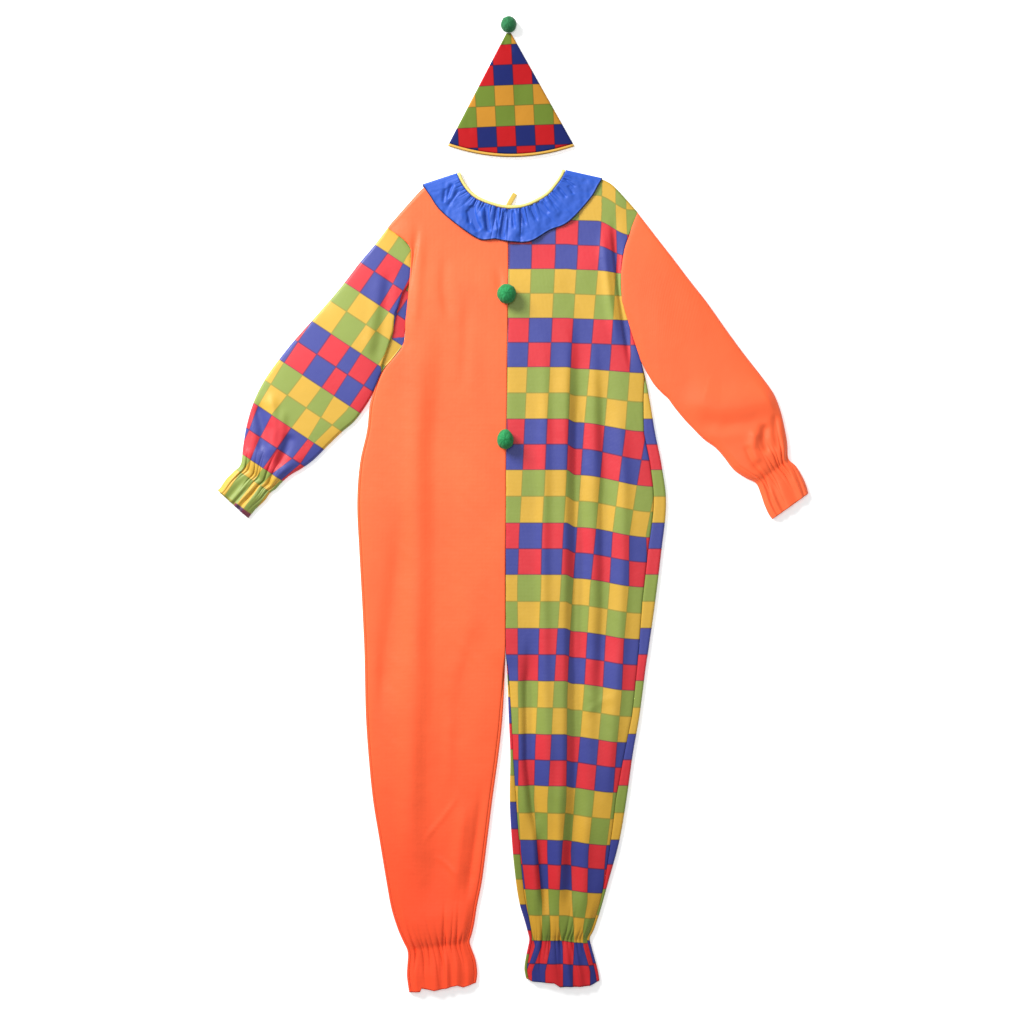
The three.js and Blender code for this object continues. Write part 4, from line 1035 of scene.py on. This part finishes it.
def felt_ball(name, x, y, seat, wide, deep, tall, egg, seed):
    polar = np.linspace(0, np.pi, RINGS + 1)[1:-1]
    turn = np.linspace(0, 2 * np.pi, SIDES, endpoint=False)
    p, t = np.meshgrid(polar, turn, indexing="ij")
    unit = np.stack([np.sin(p) * np.cos(t), np.sin(p) * np.sin(t), np.cos(p)], axis=-1)
    lumps = 0.016 * cloth_noise(8 * np.cos(t) + 5 * np.cos(p), 8 * np.sin(t), 2.2, 2.2, seed)
    lumps += 0.008 * cloth_noise(t * 20 / np.pi, p * 20, 1, 1, seed + 1) * np.sin(p)
    unit = unit * (0.485 + lumps)[..., None]
    points = np.concatenate([unit.reshape(-1, 3), [[0, 0, 0.49], [0, 0, -0.5]]])
    up = np.maximum(points[:, 2], SEAT_SHARE - 0.5)
    slim = 1 - egg * (points[:, 1] + 0.15)
    points = np.stack([x + wide * slim * points[:, 0], y + deep * points[:, 1],
                       seat + tall * (up + 0.5 - SEAT_SHARE) / (1 - SEAT_SHARE)], axis=-1) * MM
    mesh = bpy.data.meshes.new(name)
    mesh.from_pydata(points.tolist(), [], ball_faces(len(points) - 2))
    mesh.polygons.foreach_set("use_smooth", [True] * len(mesh.polygons))
    mesh.update()
    ball = bpy.data.objects.new(name, mesh)
    bpy.context.collection.objects.link(ball)
    return ball


balls = {name: felt_ball(name + "_felt", *sizes, 31 + i) for i, (name, sizes) in enumerate(BALLS.items())}
print("balls:", list(balls))

# %% [markdown]
# ## Colour and nodes
# Colours are written as sRGB hex values, as a cloth supplier would give them, and turned to the linear
# values that the shader needs. One helper adds a node, sets it and links it.

# %% Colour and node helpers
def linear(code):
    parts = [int(code[i:i + 2], 16) / 255 for i in (1, 3, 5)]
    return (*[p / 12.92 if p <= 0.04045 else ((p + 0.055) / 1.055) ** 2.4 for p in parts], 1.0)


def add_node(tree, kind, settings=None, inputs=None):
    made = tree.nodes.new(kind)
    for key, value in (settings or {}).items():
        setattr(made, key, value)
    for key, value in (inputs or {}).items():
        if isinstance(value, bpy.types.NodeSocket):
            tree.links.new(value, made.inputs[key])
        else:
            made.inputs[key].default_value = value
    return made


def new_material(name):
    material = bpy.data.materials.new(name)
    material.use_nodes = True
    tree = material.node_tree
    tree.nodes.clear()
    return material, tree


print("orange in linear light:", [round(c, 3) for c in linear("#FF7F45")[:3]])

# %% [markdown]
# ## Plain-weave polyester
# Costume polyester is a thin plain weave with a slight sheen. Its threads are about 0.25 mm apart, too
# fine to show here, so the weave is drawn at 2.4 mm with a very low relief. The sheen lifts the colour
# where the cloth turns away, and the surface stays fairly rough. Thin cloth is never quite slack or
# flat, so a second bump adds a faint crumple and the tone drifts by a few percent.

# %% Weave, crumple and tone of the polyester cloths
WEAVE = 2.4 * MM
WEAVE_RELIEF = 0.12 * MM
WAVE_PERIOD = 2 * math.pi / 20  # of Blender's band wave at scale 1
CRUMPLE_SCALE = 55.0  # per metre: bumps about 18 mm across
CRUMPLE_RELIEF = 0.9 * MM
CLOUD_SCALE = 9.0  # per metre: the tone drifts over about 11 cm


def polyester(name, colour_of, roughness, sheen, gloss):
    material, tree = new_material(name)
    place = add_node(tree, "ShaderNodeUVMap", {"uv_map": "cloth"}).outputs["UV"]
    solid = add_node(tree, "ShaderNodeTexCoord").outputs["Object"]
    clouds = add_node(tree, "ShaderNodeTexNoise", {}, {
        "Vector": solid, "Scale": CLOUD_SCALE, "Detail": 3.0}).outputs["Fac"]
    tone = add_node(tree, "ShaderNodeMapRange", {}, {
        "Value": clouds, "From Min": 0.3, "From Max": 0.7, "To Min": 0.96, "To Max": 1.03}).outputs[0]
    toned = add_node(tree, "ShaderNodeVectorMath", {"operation": "SCALE"}, {
        0: colour_of(tree, place), "Scale": tone}).outputs[0]
    warp, weft = (add_node(tree, "ShaderNodeTexWave", {"wave_type": "BANDS", "bands_direction": direction}, {
        "Vector": place, "Scale": WAVE_PERIOD / WEAVE, "Distortion": 0.6, "Detail": 1.0,
        "Detail Scale": 2.0}).outputs["Fac"] for direction in ("X", "Y"))
    woven = add_node(tree, "ShaderNodeMath", {"operation": "MULTIPLY"}, {0: warp, 1: weft}).outputs[0]
    fine = add_node(tree, "ShaderNodeBump", {}, {
        "Height": woven, "Distance": WEAVE_RELIEF, "Strength": 1.0}).outputs[0]
    crumple = add_node(tree, "ShaderNodeTexNoise", {}, {
        "Vector": solid, "Scale": CRUMPLE_SCALE, "Detail": 3.0, "Roughness": 0.55}).outputs["Fac"]
    soft = add_node(tree, "ShaderNodeBump", {}, {
        "Height": crumple, "Distance": CRUMPLE_RELIEF, "Strength": 0.5, "Normal": fine}).outputs[0]
    shade = add_node(tree, "ShaderNodeBsdfPrincipled", {}, {
        "Base Color": toned, "Roughness": roughness, "IOR": 1.5, "Sheen Weight": sheen,
        "Sheen Roughness": 0.5, "Specular IOR Level": gloss, "Normal": soft})
    add_node(tree, "ShaderNodeOutputMaterial", {}, {"Surface": shade.outputs[0]})
    return material


print("weave drawn at", WEAVE / MM, "mm")

# %% [markdown]
# ## Orange dye, with painted shade at the ankles
# Dyed cloth is never one even colour. Two close tones are mixed by a slow noise. The legs are also
# painted slowly deeper and redder towards the ankles: painted shade, standing for the light that falls
# off towards the feet. That comes from the place on the flat cloth, so it stays put when the view moves.

# %% Orange dye
DYES = ("#FC5F30", "#FE6D3B")  # the two ends of the dye's faint unevenness
# painted shade: this redder orange, laid over the lower legs, stands for the light falling off towards the
# feet
ANKLE_SHADE_ORANGE = "#F5431C"
ANKLE_SHADE_FROM, ANKLE_SHADE_TO = -0.2, -0.95  # metres along the cloth
ANKLE_SHADE_SHARE = 0.85
DYE_SCALE = 6.0  # per metre: unevenness about 17 cm across


def orange_dye_and_ankle_shade(tree, place):
    uneven = add_node(tree, "ShaderNodeTexNoise", {}, {
        "Vector": place, "Scale": DYE_SCALE, "Detail": 2.0}).outputs["Fac"]
    even = add_node(tree, "ShaderNodeMix", {"data_type": "RGBA"}, {
        0: uneven, 6: linear(DYES[0]), 7: linear(DYES[1])}).outputs[2]
    down = add_node(tree, "ShaderNodeSeparateXYZ", {}, {0: place}).outputs[1]
    ankle_shade = add_node(tree, "ShaderNodeMapRange", {"interpolation_type": "SMOOTHSTEP"}, {
        "Value": down, "From Min": ANKLE_SHADE_FROM, "From Max": ANKLE_SHADE_TO, "To Min": 0.0,
        "To Max": ANKLE_SHADE_SHARE}).outputs[0]
    return add_node(tree, "ShaderNodeMix", {"data_type": "RGBA"}, {
        0: ankle_shade, 6: even, 7: linear(ANKLE_SHADE_ORANGE)}).outputs[2]


orange_polyester = polyester("orange_plain_weave_polyester", orange_dye_and_ankle_shade,
                             roughness=0.5, sheen=0.05, gloss=0.35)
print("dyes:", DYES, ANKLE_SHADE_ORANGE)

# %% [markdown]
# ## Printed polyester
# Floor and modulo nodes count columns and rows, which choose the ink. Where two inks meet they overlap
# in a thin darker line. Towards the ankle a gamma node paints the print deeper without turning it grey:
# painted shade, standing for the light that falls off towards the feet. The hat is printed in its own
# inks, painted darker as shade for the dimmer light on the hat, on a duller cloth.

# %% Print in four inks
SUIT_INKS = {"red": "#CD2E38", "blue": "#3D448E", "yellow": "#CBA139", "green": "#859544",
             "red_blue": "#541D4B", "yellow_green": "#8B8332"}
# painted shade: the hat's inks are darker than the suit's, standing for the dimmer light on the hat
HAT_SHADED_INKS = {"red": "#A31016", "blue": "#141E59", "yellow": "#AB7624", "green": "#5D7026",
            "red_blue": "#300C27", "yellow_green": "#5C581D"}
BANDS = (("red", "blue", "red_blue"), ("yellow", "green", "yellow_green"))
LINE = 0.035  # share of a square taken by the overlap on each side
# painted shade: between these rows the print is deepened for the light falling off towards the feet
PRINT_SHADE_ROWS = (15.0, 25.0)  # rows of squares counted down, between which the print deepens
PRINT_SHADE_GAMMA = 1.3


def checks(tree, place, inks):
    cells = add_node(tree, "ShaderNodeVectorMath", {"operation": "DIVIDE"}, {
        0: place, 1: (SQUARE[0] * MM, SQUARE[1] * MM, 1)}).outputs[0]
    counted = add_node(tree, "ShaderNodeVectorMath", {"operation": "FLOOR"}, {0: cells}).outputs[0]
    column, row = add_node(tree, "ShaderNodeSeparateXYZ", {}, {0: counted}).outputs[:2]
    steps = add_node(tree, "ShaderNodeMath", {"operation": "ADD"}, {0: column, 1: row}).outputs[0]
    other = add_node(tree, "ShaderNodeMath", {"operation": "FLOORED_MODULO"}, {0: steps, 1: 2.0}).outputs[0]
    halves = add_node(tree, "ShaderNodeMath", {"operation": "DIVIDE"}, {0: row, 1: 2.0}).outputs[0]
    pairs = add_node(tree, "ShaderNodeMath", {"operation": "FLOOR"}, {0: halves}).outputs[0]
    pair = add_node(tree, "ShaderNodeMath", {"operation": "FLOORED_MODULO"}, {0: pairs, 1: 2.0}).outputs[0]
    within = add_node(tree, "ShaderNodeVectorMath", {"operation": "FRACTION"}, {0: cells}).outputs[0]
    centred = add_node(tree, "ShaderNodeVectorMath", {"operation": "SUBTRACT"}, {
        0: within, 1: (0.5, 0.5, 0.5)}).outputs[0]
    outward = add_node(tree, "ShaderNodeVectorMath", {"operation": "ABSOLUTE"}, {0: centred}).outputs[0]
    aside, along, _ = add_node(tree, "ShaderNodeSeparateXYZ", {}, {0: outward}).outputs
    nearest = add_node(tree, "ShaderNodeMath", {"operation": "MAXIMUM"}, {0: aside, 1: along}).outputs[0]
    line = add_node(tree, "ShaderNodeMapRange", {}, {
        "Value": nearest, "From Min": 0.5 - LINE, "From Max": 0.5 - 0.3 * LINE, "To Min": 0.0,
        "To Max": 0.8}).outputs[0]
    bands = []
    for first, second, overlap in BANDS:
        squares = add_node(tree, "ShaderNodeMix", {"data_type": "RGBA"}, {
            0: other, 6: linear(inks[first]), 7: linear(inks[second])}).outputs[2]
        bands.append(add_node(tree, "ShaderNodeMix", {"data_type": "RGBA"}, {
            0: line, 6: squares, 7: linear(inks[overlap])}).outputs[2])
    printed = add_node(tree, "ShaderNodeMix", {"data_type": "RGBA"}, {
        0: pair, 6: bands[0], 7: bands[1]}).outputs[2]
    down = add_node(tree, "ShaderNodeSeparateXYZ", {}, {0: cells}).outputs[1]
    ankle_shade = add_node(tree, "ShaderNodeMapRange", {}, {
        "Value": down, "From Min": PRINT_SHADE_ROWS[0], "From Max": PRINT_SHADE_ROWS[1], "To Min": 1.0,
        "To Max": PRINT_SHADE_GAMMA}).outputs[0]
    return add_node(tree, "ShaderNodeGamma", {}, {"Color": printed, "Gamma": ankle_shade}).outputs[0]


def suit_print(tree, place):
    return checks(tree, place, SUIT_INKS)


def hat_print(tree, place):
    return checks(tree, place, HAT_SHADED_INKS)


printed_polyester = polyester("printed_plain_weave_polyester", suit_print,
                              roughness=0.44, sheen=0.03, gloss=0.36)
hat_polyester = polyester("printed_hat_polyester", hat_print, roughness=0.7, sheen=0.0, gloss=0.12)
print("inks:", SUIT_INKS)

# %% [markdown]
# ## Polyester satin
# Satin floats its threads on the face, so it is smoother and shinier than a plain weave, and its shine
# stretches along the threads. A lower roughness with a little anisotropy gives that, and the fine
# relief runs one way only. A dark band is painted along the rolled hem: painted shade at the ruffle's edge.

# %% Blue satin of the ruffle
SATIN = "#2853B4"
# painted shade: the dark blue band along the rolled hem
SATIN_HEM_SHADE = "#0E2352"
HEM_SHADE_FROM, HEM_SHADE_TO = 0.0668, 0.0678  # metres out from the neck seam
SATIN_THREAD = 1.6 * MM  # the real threads are 0.1 mm apart, drawn coarser so that they show


def satin():
    material, tree = new_material("blue_polyester_satin")
    place = add_node(tree, "ShaderNodeUVMap", {"uv_map": "cloth"}).outputs["UV"]
    across = add_node(tree, "ShaderNodeSeparateXYZ", {}, {0: place}).outputs[1]
    hem = add_node(tree, "ShaderNodeMapRange", {}, {
        "Value": across, "From Min": HEM_SHADE_FROM, "From Max": HEM_SHADE_TO, "To Min": 0.0, "To Max": 1.0}).outputs[0]
    colour = add_node(tree, "ShaderNodeMix", {"data_type": "RGBA"}, {
        0: hem, 6: linear(SATIN), 7: linear(SATIN_HEM_SHADE)}).outputs[2]
    threads = add_node(tree, "ShaderNodeTexWave", {"wave_type": "BANDS", "bands_direction": "X"}, {
        "Vector": place, "Scale": WAVE_PERIOD / SATIN_THREAD, "Distortion": 1.0,
        "Detail": 1.0}).outputs["Fac"]
    bump = add_node(tree, "ShaderNodeBump", {}, {"Height": threads, "Distance": 0.05 * MM, "Strength": 1.0})
    shade = add_node(tree, "ShaderNodeBsdfPrincipled", {}, {
        "Base Color": colour, "Roughness": 0.52, "IOR": 1.5, "Anisotropic": 0.25, "Specular IOR Level": 0.35,
        "Sheen Weight": 0.05, "Sheen Roughness": 0.4, "Normal": bump.outputs[0]})
    add_node(tree, "ShaderNodeOutputMaterial", {}, {"Surface": shade.outputs[0]})
    return material


blue_satin = satin()
print("satin threads drawn at", SATIN_THREAD / MM, "mm")

# %% [markdown]
# ## Binding tape
# The tapes are a narrow ribbed weave of polyester: fine ribs run across them, and the crests are painted
# lighter, a painted highlight. They are matt beside the satin. The neck's tape is pale yellow and its tie
# darker; the hat's tape is a darker, more golden copy, painted shade for the dimmer light on the hat.

# %% Yellow tapes
RIB = 1.8 * MM  # the real ribs are nearer 1 mm apart, drawn coarser so that they show


def ribbed_tape(name, shades):
    material, tree = new_material(name)
    place = add_node(tree, "ShaderNodeUVMap", {"uv_map": "cloth"}).outputs["UV"]
    ribs = add_node(tree, "ShaderNodeTexWave", {"wave_type": "BANDS", "bands_direction": "X"}, {
        "Vector": place, "Scale": WAVE_PERIOD / RIB, "Distortion": 0.3}).outputs["Fac"]
    # painted highlight: the colour follows the ribs, lighter on their crests
    colour = add_node(tree, "ShaderNodeMix", {"data_type": "RGBA"}, {
        0: ribs, 6: linear(shades[0]), 7: linear(shades[1])}).outputs[2]
    bump = add_node(tree, "ShaderNodeBump", {}, {"Height": ribs, "Distance": 0.06 * MM, "Strength": 1.0})
    shade = add_node(tree, "ShaderNodeBsdfPrincipled", {}, {
        "Base Color": colour, "Roughness": 0.6, "IOR": 1.5, "Sheen Weight": 0.2, "Normal": bump.outputs[0]})
    add_node(tree, "ShaderNodeOutputMaterial", {}, {"Surface": shade.outputs[0]})
    return material


yellow_tape = ribbed_tape("yellow_ribbed_tape", ("#CFBF61", "#DBD185"))
tie_tape = ribbed_tape("tie_ribbed_tape", ("#C19F3A", "#D1B454"))
# painted shade: the hat's tape is a darker copy of the neck's yellow, for the dimmer light on the hat
hat_tape_painted_shade = ribbed_tape("golden_ribbed_tape_painted_shade", ("#BC892B", "#CFA33A"))
print("ribs drawn at", RIB / MM, "mm")

# %% [markdown]
# ## Felt
# Felt is a mat of short fibres pressed together, with no thread direction. Its relief is a fine noise on
# top of soft lumps, and its colour follows that relief: the valleys are painted darker than the tufts, as
# painted shade. It hardly shines. The hat's ball is a darker copy, painted shade for the dimmer light on
# the hat.

# %% Green felt
FIBRE_SCALE = 900.0  # per metre: about 1 mm; real fibres are far finer and wouldn't show
LUMP_SCALE = 160.0  # per metre: lumps about 6 mm across


def felt(name, shades):
    material, tree = new_material(name)
    solid = add_node(tree, "ShaderNodeTexCoord").outputs["Object"]
    fibres = add_node(tree, "ShaderNodeTexNoise", {}, {
        "Vector": solid, "Scale": FIBRE_SCALE, "Detail": 4.0, "Roughness": 0.7}).outputs["Fac"]
    lumps = add_node(tree, "ShaderNodeTexNoise", {}, {
        "Vector": solid, "Scale": LUMP_SCALE, "Detail": 2.0}).outputs["Fac"]
    both = add_node(tree, "ShaderNodeMath", {"operation": "ADD"}, {0: fibres, 1: lumps}).outputs[0]
    painted_valley_shade = add_node(tree, "ShaderNodeMapRange", {}, {
        "Value": both, "From Min": 0.75, "From Max": 1.25}).outputs[0]
    # painted shade: the colour follows the relief, darker in its valleys
    colour = add_node(tree, "ShaderNodeMix", {"data_type": "RGBA"}, {
        0: painted_valley_shade, 6: linear(shades[0]), 7: linear(shades[1])}).outputs[2]
    bump = add_node(tree, "ShaderNodeBump", {}, {"Height": both, "Distance": 0.6 * MM, "Strength": 0.8})
    shade = add_node(tree, "ShaderNodeBsdfPrincipled", {}, {
        "Base Color": colour, "Roughness": 0.85, "IOR": 1.5, "Sheen Weight": 0.1, "Sheen Roughness": 0.4,
        "Normal": bump.outputs[0]})
    add_node(tree, "ShaderNodeOutputMaterial", {}, {"Surface": shade.outputs[0]})
    return material


green_felt = felt("green_felt", ("#0A7239", "#1C904F"))
# painted shade: the hat's ball is a darker copy of the button felt, for the dimmer light on the hat
hat_felt_painted_shade = felt("hat_ball_felt_painted_shade", ("#075429", "#146C3C"))
print("felts:", green_felt.name, hat_felt_painted_shade.name)

# %% [markdown]
# ## Dressing the frame
# Each piece is given its material and made to ride on the one body, and the solid of the imported
# model that it stands for is hidden.

# %% Ride and replace
BODY = "root"
DRESS = {
    "front_orange": (front_orange, orange_polyester, "orange_cloth"),
    "front_check": (front_check, printed_polyester, "check_cloth"),
    "back_orange": (back_orange, orange_polyester, "orange_cloth"),
    "back_check": (back_check, printed_polyester, "check_cloth"),
    "sleeve_check": (sleeve_check, printed_polyester, "check_cloth"),
    "sleeve_orange": (sleeve_orange, orange_polyester, "orange_cloth"),
    "collar_ruffle": (collar, blue_satin, "blue_satin"),
    "neck_binding": (binding, yellow_tape, "yellow_tape"),
    "neck_tape": (tape, tie_tape, "yellow_tape"),
    "hat_cone": (hat, hat_polyester, "check_cloth"),
    "hat_binding": (hat_binding, hat_tape_painted_shade, "yellow_tape"),
    **{name: (ball, hat_felt_painted_shade if name == "hat_pompom" else green_felt, "green_felt")
       for name, ball in balls.items()},
}
for node_name, (piece, material, slot_name) in DRESS.items():
    piece.data.materials.append(material)
    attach(piece, BODY)
    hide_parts(node_name)
print("dressed:", len(DRESS), "nodes")

# %% [markdown]
# ## The cut of each cloth
# The table gives the size that each cloth was cut to before it was gathered or laid down, and its area
# where the cut isn't a rectangle. The area of one face of each shell is printed.

# %% Cuts of the cloths
# width, length, area of each cut in metres, how it is held, what it rests on
CUTS = {
    "front_orange": (0.28, 1.50, 0.36, "laid", ["back_orange"]),
    "front_check": (0.28, 1.50, 0.36, "laid", ["back_check"]),
    "back_orange": (0.30, 1.50, 0.38, "laid", []),
    "back_check": (0.34, 1.50, 0.41, "laid", []),
    "sleeve_check": (0.44, 0.52, 0.19, "gathered", []),
    "sleeve_orange": (0.50, 0.52, 0.20, "gathered", []),
    "collar_ruffle": (0.068, 0.80, None, "gathered", ["front_orange", "front_check"]),
    "neck_binding": (0.010, 0.50, None, "laid", ["front_orange", "front_check"]),
    "neck_tape": (0.010, 0.045, None, "laid", []),
    "hat_cone": (0.46, 0.215, 0.05, "laid", []),
    "hat_binding": (0.010, 0.46, 0.0025, "laid", []),
}
MADE = {node_name: piece for node_name, (piece, _, _) in DRESS.items()}
for node_name, (width, length, area, held, under) in CUTS.items():
    piece = MADE[node_name]
    sizes = [face.area for face in piece.data.polygons]
    print(node_name, "one face of the cloth:", round(sum(sizes) / 2, 4), "m2")

# %% [markdown]
# ## Floor
# The floor is a plain pale sheet of studio paper just below the costume. It gives off a little light
# of its own, as paper lit from all sides seems to, so that it stays white around the faint shadows.

# %% Floor
FLOOR_HALF = 6
FLOOR_DROP = 0.0005
floor_mesh = bpy.data.meshes.new("floor")
corners = [(FLOOR_HALF * x, FLOOR_HALF * y, -FLOOR_DROP) for x, y in ((-1, -1), (1, -1), (1, 1), (-1, 1))]
floor_mesh.from_pydata(corners, [], [(0, 1, 2, 3)])
floor = bpy.data.objects.new("floor", floor_mesh)
bpy.context.collection.objects.link(floor)
paper, paper_tree = new_material("white_studio_paper")
paper_shade = add_node(paper_tree, "ShaderNodeBsdfPrincipled", {}, {
    "Base Color": linear("#FAFAFA"), "Roughness": 0.9, "Emission Color": linear("#FFFFFF"),
    "Emission Strength": 0.32})
add_node(paper_tree, "ShaderNodeOutputMaterial", {}, {"Surface": paper_shade.outputs[0]})
floor_mesh.materials.append(paper)
print("floor:", 2 * FLOOR_HALF, "m wide")

# %% [markdown]
# ## Light
# A large soft light low on the upper left rakes over the cloth, so that each fold has a lit and a shaded
# side. A weak one overhead softens that, and a white surround keeps the shadows open, as in a
# catalogue picture.

# %% Lights
WORLD_STRENGTH = 0.42


def softbox(name, place, aim, size, power):
    data = bpy.data.lights.new(name, "AREA")
    data.size = size
    data.energy = power
    lamp = bpy.data.objects.new(name, data)
    lamp.location = place
    direction = np.array(aim) - np.array(place)
    lamp.rotation_euler = (math.acos(-direction[2] / np.linalg.norm(direction)), 0,
                           math.atan2(direction[1], direction[0]) - math.pi / 2)
    bpy.context.collection.objects.link(lamp)


softbox("key", place=(-2.2, 2.25, 1.9), aim=(0, 0.3, 0), size=1.4, power=200)
softbox("top", place=(-0.3, 0.75, 3.9), aim=(0, 0.2, 0), size=1.0, power=29)

world = bpy.data.worlds.new("studio")
world.use_nodes = True
bpy.context.scene.world = world
surround = world.node_tree.nodes["Background"]
surround.inputs[0].default_value = linear("#FFFFFF")
surround.inputs[1].default_value = WORLD_STRENGTH
bpy.context.scene.view_settings.view_transform = "Standard"

# %% [markdown]
# ## Size of the meshes
# The number of triangles in all the cloth pieces is printed.

# %% Triangles
print("triangles in all:", sum(made_triangles.values()))
